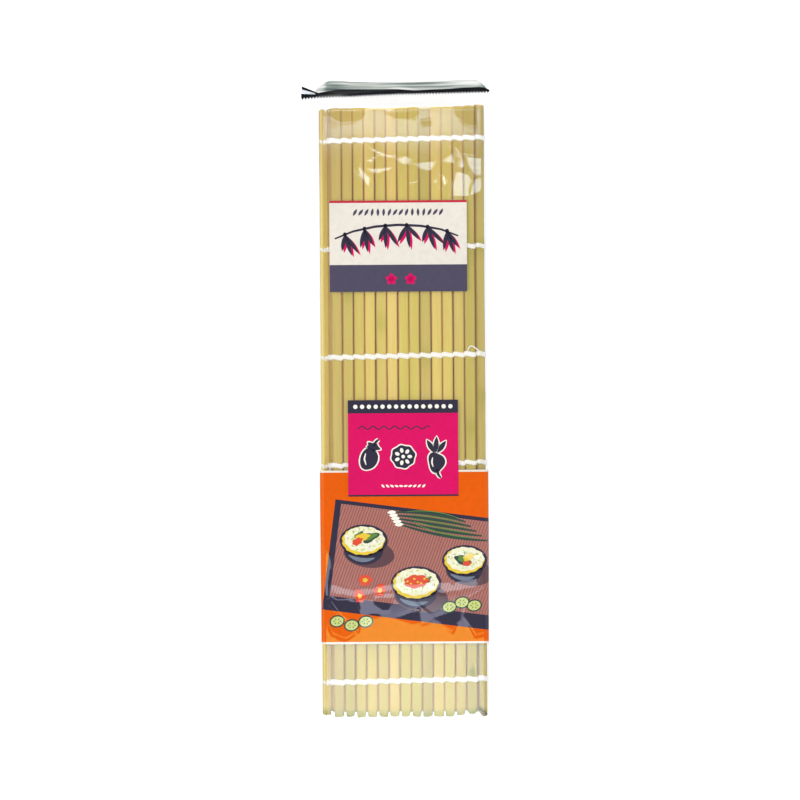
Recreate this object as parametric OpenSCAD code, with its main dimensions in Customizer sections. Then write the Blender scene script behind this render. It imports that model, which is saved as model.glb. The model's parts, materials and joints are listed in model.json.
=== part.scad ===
/* [Slats] */
// Length of a slat, along Y
slat_len = 270; // [200:5:300]
// Width of a slat
slat_w = 4.1; // [3.6:0.1:5]
// Thickness of a slat
slat_t = 1.7; // [1.5:0.1:2]
// Open gap between two slats that lie flat
slat_gap = 0.8; // [0.8:0.05:1]
// Radius of a slat's long edges
slat_r = 0.5; // [0.4:0.05:0.6]

/* [Cords] */
// Distance from one cord row to the next, along the slats
row_pitch = 48; // [30:1:50]
// Width of a cord row, along the slats
cord_w = 2; // [1:0.1:3]
// Thickness of the cord over a slat's face
cord_t = 0.7; // [0.5:0.05:0.8]
// Radius of the knot at the end of a cord row
knot_r = 1.15; // [0.9:0.05:1.3]

/* [Fold] */
// Depth of a fold's turning line below the slats' inner faces
fold_depth = 0.2; // [0.15:0.01:0.25]
// Slope of the corner slat under the front layer, from flat
front_slope = 45; // [45:1:60]
// Slope of the two corner slats further down, from flat
back_slope = 70; // [60:1:80]
// Place of the front layer's fold, right of the middle
front_fold_x = 31.65; // [30:0.05:33]
// Radius of the cord bead that a fold turns on
bead_r = 0.3; // [0.25:0.01:0.32]

/* [Packet] */
// Thickness of the film
film_t = 0.2; // [0.15:0.01:0.3]
// Clear space between the film and the cords
film_gap = 0.3; // [0.2:0.05:0.5]
// Radius of the sleeve's corners
film_r = 2; // [1:0.5:4]
// How far the sleeve reaches past the slats at its open end
open_end = 6; // [2:0.5:10]
// Length of the drawn-in end past the slats
taper_len = 12; // [10:0.5:16]
// Thickness of the two films pressed together at the drawn-in end
taper_t = 0.3; // [0.2:0.05:0.5]
// Width of the back seam
seam_w = 12; // [8:1:16]
// Thickness of the back seam
seam_t = 0.2; // [0.15:0.05:0.2]

/* [Flap] */
// Left end of the flap
flap_x0 = -44.8; // [-48:0.2:-40]
// Right end of the flap
flap_x1 = 38.6; // [36:0.2:44]
// Length of the flap's clear film
flap_len = 4.2; // [3:0.1:5]
// Thickness of the flap's folded film
flap_t = 0.3; // [0.2:0.05:0.35]
// Width of the dark seal strip
strip_w = 3.1; // [2:0.1:4]
// Thickness of the dark seal strip
strip_t = 0.7; // [0.6:0.05:0.9]
// Length of one tooth of the strip's serrated edge
tooth_pitch = 1.39; // [1:0.05:2]
// Depth of a tooth
tooth_h = 0.7; // [0.3:0.05:0.8]
// Radius of the crease that the flap turns on
crease_r = 0.35; // [0.3:0.05:0.4]

/* [Prints] */
// Thickness of a printed panel
print_t = 0.1; // [0.05:0.01:0.15]
// Height of the title panel
title_h = 40.3; // [30:0.1:45]
// Width of the title panel
title_w = 60.7; // [40:0.1:64]
// Distance from the slats' upper end to the title panel
title_end = 41.5; // [25:0.1:45]
// Middle of the title panel, across
title_x = -2.25; // [-4:0.05:4]
// Height of the name panel
name_h = 42.5; // [30:0.1:45]
// Width of the name panel
name_w = 48.7; // [30:0.1:60]
// How far the name panel reaches over the picture panel
name_over = 11.5; // [0:0.1:20]
// Middle of the name panel, across
name_x = -0.65; // [-5:0.05:5]
// Height of the picture panel
picture_h = 76.7; // [50:0.1:80]
// Distance from the slats' lower end to the picture panel
picture_end = 32.6; // [10:0.1:40]
// How far the picture panel runs down the packet's sides
picture_drop = 4; // [3.2:0.1:6]

/* [Hidden] */
$fn = 24;
pitch = slat_w + slat_gap;
running_gap = 0.06;
bead_room = 0.25;
rows = 6;
row_ys = [for (i = [0 : rows - 1]) (i - (rows - 1) / 2) * row_pitch];

// How many slats lie flat in each layer, from the front layer to the back one
front_count = 13;
second_count = 14;
third_count = 13;
back_count = 12;

// Numbers of the corner slats, and of the first slat in each layer after the front one
corner_a = front_count + 1;
second_first = corner_a + 1;
corner_b = second_first + second_count;
third_first = corner_b + 1;
corner_c = third_first + third_count;
back_first = corner_c + 1;
back_last = back_first + back_count - 1;

// Rise and sideways shift from the lower to the upper turning line of a fold
front_rise = pitch * sin(front_slope);
front_shift = pitch * cos(front_slope);
back_rise = pitch * sin(back_slope);
back_shift = pitch * cos(back_slope);

// Underside of each layer's slats, from the back one up
back_z = film_t + seam_t + film_gap + cord_t;
third_z = back_z + slat_t + back_rise - 2 * fold_depth;
second_z = third_z + slat_t + back_rise - 2 * fold_depth;
front_z = second_z + slat_t + front_rise - 2 * fold_depth;

// Turning lines as [x, z], a lower and an upper one for each fold
a_upper = [front_fold_x, front_z + fold_depth];
a_lower = [front_fold_x + front_shift, second_z + slat_t - fold_depth];
b_upper = [a_lower[0] - second_count * pitch, second_z + fold_depth];
b_lower = [b_upper[0] - back_shift, third_z + slat_t - fold_depth];
c_upper = [b_lower[0] + third_count * pitch, third_z + fold_depth];
c_lower = [c_upper[0] + back_shift, back_z + slat_t - fold_depth];

// Middles of the slats in each layer, in the order in which they are numbered
front_xs = [for (i = [0 : front_count - 1]) a_upper[0] - (front_count - i - 0.5) * pitch];
second_xs = [for (i = [0 : second_count - 1]) a_lower[0] - (i + 0.5) * pitch];
third_xs = [for (i = [0 : third_count - 1]) b_lower[0] + (i + 0.5) * pitch];
back_xs = [for (i = [0 : back_count - 1]) c_lower[0] - (i + 0.5) * pitch];

// Space inside the sleeve, which goes round the outermost cords
function corner_reach(slope) = (slat_t - fold_depth - slat_r) * sin(slope)
    - (slat_gap / 2 + slat_r) * cos(slope) + slat_r + cord_t;
inside_x0 = b_lower[0] - corner_reach(back_slope) - film_gap;
inside_x1 = a_lower[0] + corner_reach(front_slope) + film_gap;
inside_z1 = front_z + slat_t + cord_t + film_gap;
sleeve_x0 = inside_x0 - film_t;
sleeve_x1 = inside_x1 + film_t;
sleeve_z1 = inside_z1 + film_t;
sleeve_y0 = -slat_len / 2 - open_end;
sleeve_y1 = slat_len / 2 + film_gap;

// The flap's crease, and the drawn-in end that it turns on
crease_y = slat_len / 2 + taper_len;
crease_z = sleeve_z1;
taper_y = crease_y - crease_r - running_gap;
taper_z = crease_z - running_gap - taper_t;
strip_y = crease_y - flap_len;

// Upper edges of the printed panels
title_y = slat_len / 2 - title_end;
picture_y = picture_end + picture_h - slat_len / 2;
name_y = picture_y + name_h - name_over;

// The drawn-in end is spanned between two slices, and its film is thicker at its lip
slice_t = 0.01;
lip_len = 4 * film_t;

function slat_name(i) = str("slat_", i < 10 ? "0" : "", i);
function pair_name(i, last) = i < last ? str("slats_", i, "_", i + 1) : slat_name(i);

FRONT = [1 : front_count];
SECOND = [second_first : corner_b - 1];
THIRD = [third_first : 2 : corner_c - 1];
BACK = [back_first : 2 : back_last];

// A bar's section with round corners, w wide about x = 0 and t high from y = 0
module round_bar(w, t, r) {
    translate([r - w / 2, 0]) square([w - 2 * r, t]);
    translate([-w / 2, r]) square([w, t - 2 * r]);
    for (x = [r - w / 2, w / 2 - r], y = [r, t - r]) translate([x, y]) circle(r);
}

// Draws an XZ section out along Y, centred at y
module along_y(len, y = 0) {
    translate([0, y, 0]) rotate([90, 0, 0]) linear_extrude(height = len, center = true) children();
}

// Moves children from a fold's own frame, whose x runs from its lower line to its upper one
module on_fold(line, angle) {
    translate([line[0], 0, line[1]]) rotate([0, -angle, 0]) children();
}

module slat(x, z) {
    color("darkkhaki") along_y(slat_len) translate([x, z]) round_bar(slat_w, slat_t, slat_r);
}

module slats(xs, z) {
    for (x = xs) slat(x, z);
}

// Section of one cord row round the slats whose middles are at xs and undersides at z
module cord_section(xs, z) {
    difference() {
        for (x = xs) translate([x, z - cord_t])
            round_bar(slat_w + 2 * cord_t, slat_t + 2 * cord_t, slat_r + cord_t);
        for (x = xs) translate([x, z - running_gap])
            round_bar(slat_w + 2 * running_gap, slat_t + 2 * running_gap, slat_r + running_gap);
    }
}

// Trims a section where it meets a turning line. The row lies on the side along of the line,
// the fold closes on the side inner, and it turns by the given angle
module trim(line, along, inner, turn) {
    reach = 3 * pitch;
    difference() {
        children();
        translate(line) scale([along, inner]) {
            translate([-reach, -reach]) square([reach + running_gap / 2, 2 * reach]);
            rotate((180 - turn) / 2) translate([-reach, -running_gap / 2]) square([2 * reach, reach]);
        }
    }
}

// Leaves room for the bead of the row on the other side of a turning line
module clear_bead(line) {
    difference() {
        children();
        translate(line) circle(bead_r + bead_room);
    }
}

module cord_rows() {
    color("ivory") for (y = row_ys) along_y(cord_w, y) children();
}

// Knots at the free end of the rows, against the edge at x of slats whose undersides are at z
module knots(x, z) {
    color("ivory") for (y = row_ys)
        translate([x - knot_r - running_gap, y, z + slat_t / 2]) sphere(knot_r);
}

module corner_cords(line, angle, inner, lower_turn) {
    underside = inner > 0 ? fold_depth - slat_t : -fold_depth;
    on_fold(line, angle) cord_rows() {
        trim([0, 0], 1, inner, lower_turn) trim([pitch, 0], -1, inner, 180 - lower_turn)
            cord_section([pitch / 2], underside);
        circle(bead_r);
        translate([pitch, 0]) circle(bead_r);
    }
}

module cords_front() {
    cord_rows() clear_bead(a_upper) trim(a_upper, -1, -1, front_slope) cord_section(front_xs, front_z);
    knots(front_xs[0] - slat_w / 2, front_z);
}

module cords_second() {
    cord_rows() clear_bead(a_lower) clear_bead(b_upper)
        trim(a_lower, -1, 1, 180 - front_slope) trim(b_upper, 1, -1, back_slope)
        cord_section(second_xs, second_z);
}

module cords_third() {
    cord_rows() clear_bead(b_lower) clear_bead(c_upper)
        trim(b_lower, 1, 1, 180 - back_slope) trim(c_upper, -1, -1, back_slope)
        cord_section(third_xs, third_z);
}

module cords_back() {
    cord_rows() clear_bead(c_lower) trim(c_lower, -1, 1, 180 - back_slope) cord_section(back_xs, back_z);
    knots(back_xs[back_count - 1] - slat_w / 2, back_z);
}

// Section of the packet, grown outwards by grow and filled
module packet_section(grow) {
    width = sleeve_x1 - sleeve_x0 + 2 * grow;
    translate([(sleeve_x0 + sleeve_x1) / 2, -grow])
        round_bar(width, sleeve_z1 + 2 * grow, film_r + grow);
}

module film_sleeve() {
    color("aliceblue", 0.35) along_y(sleeve_y1 - sleeve_y0, (sleeve_y0 + sleeve_y1) / 2) difference() {
        packet_section(0);
        packet_section(-film_t);
    }
}

// The drawn-in end's outline, shrunk by the film's thickness where inset is film_t
module shoulder_form(inset) {
    start_y = sleeve_y1 - (inset > 0 ? slice_t : 0);
    end_y = taper_y - (inset > 0 ? lip_len : 0);
    hull() {
        translate([0, slice_t / 2, 0]) along_y(slice_t, start_y) packet_section(-inset);
        translate([flap_x0 + inset, end_y - slice_t, taper_z + inset / 2])
            cube([flap_x1 - flap_x0 - 2 * inset, slice_t, taper_t - inset]);
    }
}

module film_shoulder() {
    color("aliceblue", 0.35) difference() {
        shoulder_form(0);
        shoulder_form(film_t);
    }
}

module back_seam() {
    color("lightsteelblue", 0.5)
        translate([(sleeve_x0 + sleeve_x1 - seam_w) / 2, sleeve_y0, film_t])
        cube([seam_w, sleeve_y1 - sleeve_y0, seam_t]);
}

module flat_print(x, y, w, h, z) {
    translate([x - w / 2, y - h, z]) cube([w, h, print_t]);
}

module title_print() {
    color("white") flat_print(title_x, title_y, title_w, title_h, sleeve_z1);
}

module name_print() {
    color("deeppink") flat_print(name_x, name_y, name_w, name_h, sleeve_z1 + print_t);
}

module picture_print() {
    reach = sleeve_x1 - sleeve_x0;
    color("darkorange") along_y(picture_h, picture_y - picture_h / 2) intersection() {
        difference() {
            packet_section(print_t);
            packet_section(0);
        }
        translate([-reach, sleeve_z1 - picture_drop]) square([2 * reach, 2 * picture_drop]);
    }
}

module flap_film() {
    color("gainsboro", 0.5) {
        translate([flap_x0, strip_y, crease_z + crease_r - flap_t]) cube([flap_x1 - flap_x0, flap_len, flap_t]);
        translate([flap_x0, crease_y, crease_z]) rotate([0, 90, 0])
            cylinder(h = flap_x1 - flap_x0, r = crease_r);
    }
}

module seal_strip() {
    count = round((flap_x1 - flap_x0) / tooth_pitch);
    step = (flap_x1 - flap_x0) / count;
    tips = [for (i = [0 : count - 1], edge = [0, 0.5]) [(i + edge) * step, edge > 0 ? 0 : tooth_h]];
    color("dimgray") translate([flap_x0, strip_y - strip_w, crease_z + running_gap])
        linear_extrude(height = strip_t)
        polygon(concat(tips, [[flap_x1 - flap_x0, tooth_h], [flap_x1 - flap_x0, strip_w], [0, strip_w]]));
}

function pair(xs, i) = i + 1 < len(xs) ? [xs[i], xs[i + 1]] : [xs[i]];

for (i = FRONT) slat(front_xs[i - 1], front_z);
for (i = SECOND) slat(second_xs[i - second_first], second_z);
for (i = THIRD) slats(pair(third_xs, i - third_first), third_z);
for (i = BACK) slats(pair(back_xs, i - back_first), back_z);
on_fold(a_lower, 180 - front_slope) slat(pitch / 2, fold_depth - slat_t);
on_fold(b_lower, back_slope) slat(pitch / 2, -fold_depth);
on_fold(c_lower, 180 - back_slope) slat(pitch / 2, fold_depth - slat_t);
cords_front();
corner_cords(a_lower, 180 - front_slope, 1, 180 - front_slope);  // cords_corner_a
cords_second();
corner_cords(b_lower, back_slope, -1, 180 - back_slope);  // cords_corner_b
cords_third();
corner_cords(c_lower, 180 - back_slope, 1, 180 - back_slope);  // cords_corner_c
cords_back();
film_sleeve();
film_shoulder();
back_seam();
title_print();
name_print();
picture_print();
flap_film();
seal_strip();
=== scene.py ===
"""Looks of a sushi rolling mat that lies folded flat in its clear packet."""

import json
import logging
import math
import random
from collections.abc import Callable, Sequence
from dataclasses import dataclass, field
from enum import Enum

import bmesh
import bpy
import numpy as np
from mathutils import Matrix, Vector


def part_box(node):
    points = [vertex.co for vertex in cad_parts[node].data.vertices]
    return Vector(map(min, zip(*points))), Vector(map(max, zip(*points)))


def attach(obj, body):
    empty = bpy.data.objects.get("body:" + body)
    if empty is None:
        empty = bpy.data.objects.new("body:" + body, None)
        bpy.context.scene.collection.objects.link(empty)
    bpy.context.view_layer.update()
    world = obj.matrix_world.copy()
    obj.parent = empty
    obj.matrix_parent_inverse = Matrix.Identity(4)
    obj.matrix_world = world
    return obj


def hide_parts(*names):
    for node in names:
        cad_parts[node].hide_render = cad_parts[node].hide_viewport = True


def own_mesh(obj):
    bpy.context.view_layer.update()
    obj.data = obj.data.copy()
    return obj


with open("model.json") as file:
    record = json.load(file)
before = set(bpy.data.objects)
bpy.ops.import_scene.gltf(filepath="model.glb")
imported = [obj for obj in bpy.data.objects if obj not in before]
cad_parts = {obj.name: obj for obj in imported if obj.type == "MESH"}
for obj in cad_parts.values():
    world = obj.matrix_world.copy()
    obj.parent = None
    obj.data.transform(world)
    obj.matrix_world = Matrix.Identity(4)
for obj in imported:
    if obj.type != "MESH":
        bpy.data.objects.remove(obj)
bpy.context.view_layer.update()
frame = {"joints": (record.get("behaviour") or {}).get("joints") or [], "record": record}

MM = 0.001
log = logging.getLogger("mat")

Colour = tuple[float, float, float, float]
Pair = tuple[float, float]


def srgb(red: float, green: float, blue: float) -> Colour:
    """Turns a colour written from 0 to 255 into a linear one.

    Args:
        red: Red, from 0 to 255.
        green: Green, from 0 to 255.
        blue: Blue, from 0 to 255.

    Returns:
        The linear colour, with an alpha of 1.
    """
    shares = (value / 255 for value in (red, green, blue))
    linear = [s / 12.92 if s <= 0.04045 else ((s + 0.055) / 1.055) ** 2.4 for s in shares]
    return (linear[0], linear[1], linear[2], 1.0)


def steps(start: float, end: float, pitch: float) -> list[float]:
    """Divides a length into equal steps.

    Args:
        start: First value.
        end: Last value.
        pitch: Longest step allowed.

    Returns:
        The values from start to end, both included.
    """
    count = max(1, math.ceil(abs(end - start) / pitch))
    return [start + (end - start) * i / count for i in range(count + 1)]


def ease(share: float) -> float:
    """Turns a share from 0 to 1 into one that starts and ends gently."""
    share = min(1.0, max(0.0, share))
    return share * share * (3 - 2 * share)


def box_mm(node: str) -> tuple[Vector, Vector]:
    """Gives a node's lowest and highest corners in millimetres."""
    low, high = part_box(node)
    return low / MM, high / MM


def hinge_line(joint: str) -> Pair:
    """Gives where a joint's axis crosses the XZ plane, in millimetres."""
    place = next(j["pos_m"] for j in frame["joints"] if j["name"] == joint)
    return place[0] / MM, place[2] / MM


class Recipe:
    """A node material in the making."""

    def __init__(self, name: str) -> None:
        """Starts an empty material.

        Args:
            name: The material's name.
        """
        self.material = bpy.data.materials.new(name)
        self.material.use_nodes = True
        self.nodes = self.material.node_tree.nodes
        self.links = self.material.node_tree.links
        self.nodes.clear()
        self.surface = self.nodes.new("ShaderNodeOutputMaterial").inputs["Surface"]

    def add(self, kind: str, inputs: dict | None = None, out: int | str = 0, **settings) -> bpy.types.NodeSocket:
        """Adds a node and feeds its inputs.

        Args:
            kind: The node's type, without its ShaderNode prefix.
            inputs: Values or sockets for its inputs, by name or number.
            out: Which output to hand back.
            **settings: Properties of the node.

        Returns:
            The chosen output socket.
        """
        node = self.nodes.new("ShaderNode" + kind)
        for name, value in settings.items():
            setattr(node, name, value)
        for key, value in (inputs or {}).items():
            if isinstance(value, bpy.types.NodeSocket):
                self.links.new(value, node.inputs[key])
            else:
                node.inputs[key].default_value = value
        return node.outputs[out]

    def mix(self, share: object, first: object, second: object, mode: str = "MIX") -> bpy.types.NodeSocket:
        """Mixes two colours.

        Args:
            share: How much of the second colour, a number or a socket.
            first: Colour or socket where the share is 0.
            second: Colour or socket where the share is 1.
            mode: How the colours are mixed.

        Returns:
            The mixed colour's socket.
        """
        inputs = {0: share, 6: first, 7: second}
        return self.add("Mix", inputs, 2, data_type="RGBA", blend_type=mode, clamp_factor=True)

    def math(self, operation: str, first: object, second: object = 0.0) -> bpy.types.NodeSocket:
        """Works out one number from two.

        Args:
            operation: Blender's name of the operation.
            first: Number or socket.
            second: Number or socket.

        Returns:
            The result's socket.
        """
        return self.add("Math", {0: first, 1: second}, operation=operation)

    def fit(self, value: object, low: float, high: float, to_low: float = 0.0, to_high: float = 1.0) -> bpy.types.NodeSocket:
        """Moves a number from one range to another, and keeps it there.

        Args:
            value: The number's socket.
            low: Where the first range starts.
            high: Where the first range ends.
            to_low: Where the new range starts.
            to_high: Where the new range ends.

        Returns:
            The result's socket.
        """
        inputs = {0: value, 1: low, 2: high, 3: to_low, 4: to_high}
        return self.add("MapRange", inputs, clamp=True)

    def noise(self, place: bpy.types.NodeSocket, scale: Sequence[float], detail: float = 2.0) -> bpy.types.NodeSocket:
        """Adds noise with its own scale along each axis.

        Args:
            place: Coordinates to read.
            scale: Scale along X, Y and Z.
            detail: How many finer layers the noise has.

        Returns:
            The noise's value.
        """
        mapped = self.add("Mapping", {"Vector": place, "Scale": scale})
        return self.add("TexNoise", {"Vector": mapped, "Scale": 1.0, "Detail": detail})

    def bump(self, height: bpy.types.NodeSocket, strength: float, depth: float) -> bpy.types.NodeSocket:
        """Adds fine relief.

        Args:
            height: The relief's height, from 0 to 1.
            strength: How much of it shows.
            depth: Its real depth in metres.

        Returns:
            The bent normal.
        """
        return self.add("Bump", {"Strength": strength, "Distance": depth, "Height": height})

    def done(self, shader: bpy.types.NodeSocket) -> bpy.types.Material:
        """Links the finished shader and hands the material back."""
        self.links.new(shader, self.surface)
        return self.material


@dataclass(frozen=True)
class BambooFinish:
    """Split bamboo: a green to tan skin, a paler inside and brown split sides, with painted shade towards the upper
    ends and along the slanted cut, and two slats in shade recoloured with painted light.
    """

    green: Colour = srgb(212, 198, 80)
    tan: Colour = srgb(246, 212, 124)
    inside: Colour = srgb(236, 194, 112)
    split: Colour = srgb(252, 184, 98)
    mark: Colour = srgb(172, 162, 0)
    fibre: Colour = srgb(206, 170, 86)
    # tip: pale colour of the upper ends, and painted light that lifts the stout and tucked slats, which lie in shade
    tip: Colour = srgb(255, 228, 118)
    # painted shadow: dark brown laid along the slanted cut end for the shadow line there, also mixed into the tucked
    # slat as painted shade
    cut: Colour = srgb(124, 80, 16)
    # painted shade: the slats' colour is multiplied by this towards their upper ends
    shaded: Colour = (0.87, 0.80, 0.66, 1.0)
    roughness: float = 0.5

    def material(self) -> bpy.types.Material:
        """Builds the material from the slats' own map and their traits."""
        make = Recipe("bamboo")
        grain = make.add("UVMap", uv_map="grain")
        source = make.add("Attribute", attribute_name="traits")
        parts = make.add("SeparateColor", {0: source}, "Red").node.outputs
        ends = make.add("Attribute", attribute_name="marks_and_painted_light")
        marks_and_painted_light = make.add("SeparateColor", {0: ends}, "Red")
        wide = make.noise(grain, (0.35, 0.012, 1.0), 3.0)
        streaks = make.noise(grain, (3.4, 0.035, 1.0), 4.0)
        fibres = make.noise(grain, (11.0, 0.16, 1.0), 3.0)
        specks = make.noise(grain, (5.0, 0.9, 1.0), 1.0)
        warmth = make.math("ADD", parts["Red"], make.fit(wide, 0.3, 0.7, -0.22, 0.22))
        skin = make.mix(warmth, self.green, self.tan)
        body = make.mix(marks_and_painted_light.node.outputs["Green"], self.inside, skin)
        streaked = make.mix(make.fit(streaks, 0.42, 0.72, 0.0, 0.5), body, self.fibre)
        fine = make.mix(make.fit(fibres, 0.5, 0.8, 0.0, 0.4), streaked, self.fibre)
        specked = make.mix(make.fit(specks, 0.68, 0.8, 0.0, 0.35), fine, self.split)
        sided = make.mix(make.fit(parts["Blue"], 0.9, 1.0, 0.0, 0.85), specked, self.split)
        # pale upper ends, and painted light on the stout and tucked slats
        paled_and_lit = make.mix(marks_and_painted_light.node.outputs["Blue"], sided, self.tip)
        marked = make.mix(marks_and_painted_light.node.outputs["Red"], paled_and_lit, self.mark)
        # painted shadow and shade: mixes in the dark brown as far as the traits' alpha says
        cut_and_shaded = make.mix(source.node.outputs["Alpha"], marked, self.cut)
        level = make.fit(parts["Green"], 0.0, 1.0, 0.8, 1.03)
        shade = make.add("CombineXYZ", {0: level, 1: level, 2: level})
        toned = make.mix(1.0, cut_and_shaded, shade, "MULTIPLY")
        # painted shade: the attribute's alpha darkens the slats towards their upper ends
        toned = make.mix(ends.node.outputs["Alpha"], toned, self.shaded, "MULTIPLY")
        relief = make.math("ADD", make.math("MULTIPLY", fibres, 0.5), streaks)
        rough = make.fit(streaks, 0.3, 0.7, self.roughness - 0.08, self.roughness + 0.1)
        inputs = {"Base Color": toned, "Roughness": rough, "Normal": make.bump(relief, 0.5, 0.00012)}
        inputs["Specular IOR Level"] = 0.2
        return make.done(make.add("BsdfPrincipled", inputs))


@dataclass(frozen=True)
class CottonFinish:
    """Twisted white cotton with a fluffy surface."""

    light: Colour = srgb(255, 254, 248)
    dark: Colour = srgb(254, 247, 232)

    def material(self) -> bpy.types.Material:
        """Builds the material from the yarn's own map."""
        make = Recipe("cotton")
        yarn = make.add("UVMap", uv_map="yarn")
        fluff = make.noise(yarn, (9.0, 5.0, 1.0), 3.0)
        slant = make.add("Mapping", {"Vector": yarn, "Rotation": (0.0, 0.0, 0.6), "Scale": (6.0, 6.0, 1.0)})
        plies = make.add("TexWave", {"Vector": slant, "Scale": 1.2, "Distortion": 1.2}, 1)
        colour = make.mix(make.fit(fluff, 0.35, 0.75), self.light, self.dark)
        relief = make.math("ADD", make.math("MULTIPLY", plies, 0.6), fluff)
        inputs = {"Base Color": colour, "Roughness": 0.92, "Normal": make.bump(relief, 0.25, 0.0001)}
        inputs["Sheen Weight"] = 0.35
        return make.done(make.add("BsdfPrincipled", inputs))


@dataclass(frozen=True)
class FilmFinish:
    """Clear glossy film, with a veil where it is doubled or worn."""

    name: str
    tint: Colour
    veil: float
    gloss: float = 0.025
    roughness: float = 0.07
    shine: Colour = srgb(206, 228, 246)
    edge: float = 0.1

    def material(self) -> bpy.types.Material:
        """Builds a see-through film that mirrors more at a slant."""
        make = Recipe(self.name)
        place = make.add("TexCoord", out="Object")
        crumple = make.noise(place, (90.0, 60.0, 90.0), 2.0)
        cloud = make.noise(place, (45.0, 30.0, 45.0), 3.0)
        normal = make.bump(crumple, 0.03, 0.0002)
        clear = make.add("BsdfTransparent", {"Color": srgb(255, 255, 255)})
        inputs = {"Base Color": self.tint, "Roughness": 0.6, "Normal": normal}
        veil = make.add("BsdfPrincipled", inputs)
        share = make.fit(cloud, 0.3, 0.7, self.veil * 0.5, self.veil * 1.5)
        body = make.add("MixShader", {0: share, 1: clear, 2: veil})
        mirror = make.add("BsdfGlossy", {"Color": self.shine, "Roughness": self.roughness, "Normal": normal})
        slant = make.add("LayerWeight", {"Blend": 0.5, "Normal": normal}, "Facing")
        edge = make.math("MULTIPLY", make.math("POWER", slant, 5.0), self.edge)
        gloss = make.math("ADD", edge, self.gloss)
        return make.done(make.add("MixShader", {0: gloss, 1: body, 2: mirror}))


@dataclass(frozen=True)
class InkFinish:
    """Glossy printing ink on film."""

    name: str
    colour: Colour
    hatch: float = 0.0
    hatch_colour: Colour = srgb(120, 62, 60)
    shine: Colour = srgb(218, 240, 255)

    def material(self) -> bpy.types.Material:
        """Builds the ink, with fine mottling and, where asked, fine lines."""
        make = Recipe(self.name)
        place = make.add("TexCoord", out="Object")
        mottle = make.noise(place, (420.0, 420.0, 420.0), 2.0)
        patch = make.noise(place, (60.0, 60.0, 60.0), 2.0)
        darker = tuple(c * 0.72 for c in self.colour[:3]) + (1.0,)
        ink = make.mix(make.fit(mottle, 0.4, 0.8, 0.0, 0.3), self.colour, darker)
        ink = make.mix(make.fit(patch, 0.45, 0.8, 0.0, 0.22), ink, darker)
        if self.hatch:
            turned = make.add("Mapping", {"Vector": place, "Rotation": (0.0, 0.0, 0.35)})
            lines = make.add("TexWave", {"Vector": turned, "Scale": 260.0, "Distortion": 1.5, "Detail": 2.0}, 1)
            ink = make.mix(make.fit(lines, 0.55, 0.9, 0.0, self.hatch), ink, self.hatch_colour)
        crinkle = make.noise(place, (110.0, 80.0, 110.0), 2.0)
        inputs = {"Base Color": ink, "Roughness": 0.08, "Normal": make.bump(crinkle, 0.04, 0.0002)}
        inputs |= {"Specular IOR Level": 0.5, "Specular Tint": self.shine}
        return make.done(make.add("BsdfPrincipled", inputs))


@dataclass(frozen=True)
class SealFinish:
    """Dark heat-sealed strip with fine crimp lines, worn paler in places."""

    dark: Colour = srgb(16, 18, 24)
    pale: Colour = srgb(84, 86, 84)

    def material(self) -> bpy.types.Material:
        """Builds the strip's material."""
        make = Recipe("seal")
        place = make.add("TexCoord", out="Object")
        lines = make.add("Mapping", {"Vector": place, "Rotation": (0.0, 0.0, 1.5708)})
        crimp = make.add("TexWave", {"Vector": lines, "Scale": 520.0, "Distortion": 0.4}, 1)
        cloud = make.noise(place, (60.0, 420.0, 60.0), 2.0)
        wear = make.add("Attribute", {}, "Fac", attribute_name="wear")
        share = make.math("ADD", make.fit(cloud, 0.5, 0.8, 0.0, 0.5), wear)
        colour = make.mix(share, self.dark, self.pale)
        inputs = {"Base Color": colour, "Roughness": 0.3, "Normal": make.bump(crimp, 0.5, 0.0001)}
        inputs["Specular IOR Level"] = 0.06
        return make.done(make.add("BsdfPrincipled", inputs))


@dataclass(frozen=True)
class HeaderFinish:
    """Doubled film over the dark seal, streaked along its fold, its lightest tones a painted highlight."""

    dark: Colour = srgb(62, 80, 78)
    middle: Colour = srgb(150, 162, 156)
    # painted highlight: the colour where the film's tone runs high
    light: Colour = srgb(255, 255, 250)
    opacity: float = 0.9

    def material(self) -> bpy.types.Material:
        """Builds the streaked film's material from the piece's own tones, the highest of which run to a painted
        highlight.
        """
        make = Recipe("header_film")
        place = make.add("TexCoord", out="Object")
        tone = make.add("Attribute", {}, "Fac", attribute_name="tone")
        streaks = make.noise(place, (40.0, 1300.0, 60.0), 2.0)
        mottled = make.math("ADD", tone, make.fit(streaks, 0.35, 0.65, -0.2, 0.2))
        low = make.mix(make.fit(mottled, 0.0, 0.5), self.dark, self.middle)
        # painted highlight: high tones mix towards white
        colour = make.mix(make.fit(mottled, 0.5, 1.0), low, self.light)
        inputs = {"Base Color": colour, "Roughness": 0.2, "Normal": make.bump(streaks, 0.3, 0.0002)}
        inputs["Specular IOR Level"] = 0.08
        film = make.add("BsdfPrincipled", inputs)
        clear = make.add("BsdfTransparent", {"Color": srgb(250, 252, 252)})
        share = make.fit(mottled, 0.7, 1.0, self.opacity, self.opacity - 0.25)
        return make.done(make.add("MixShader", {0: share, 1: clear, 2: film}))


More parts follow.
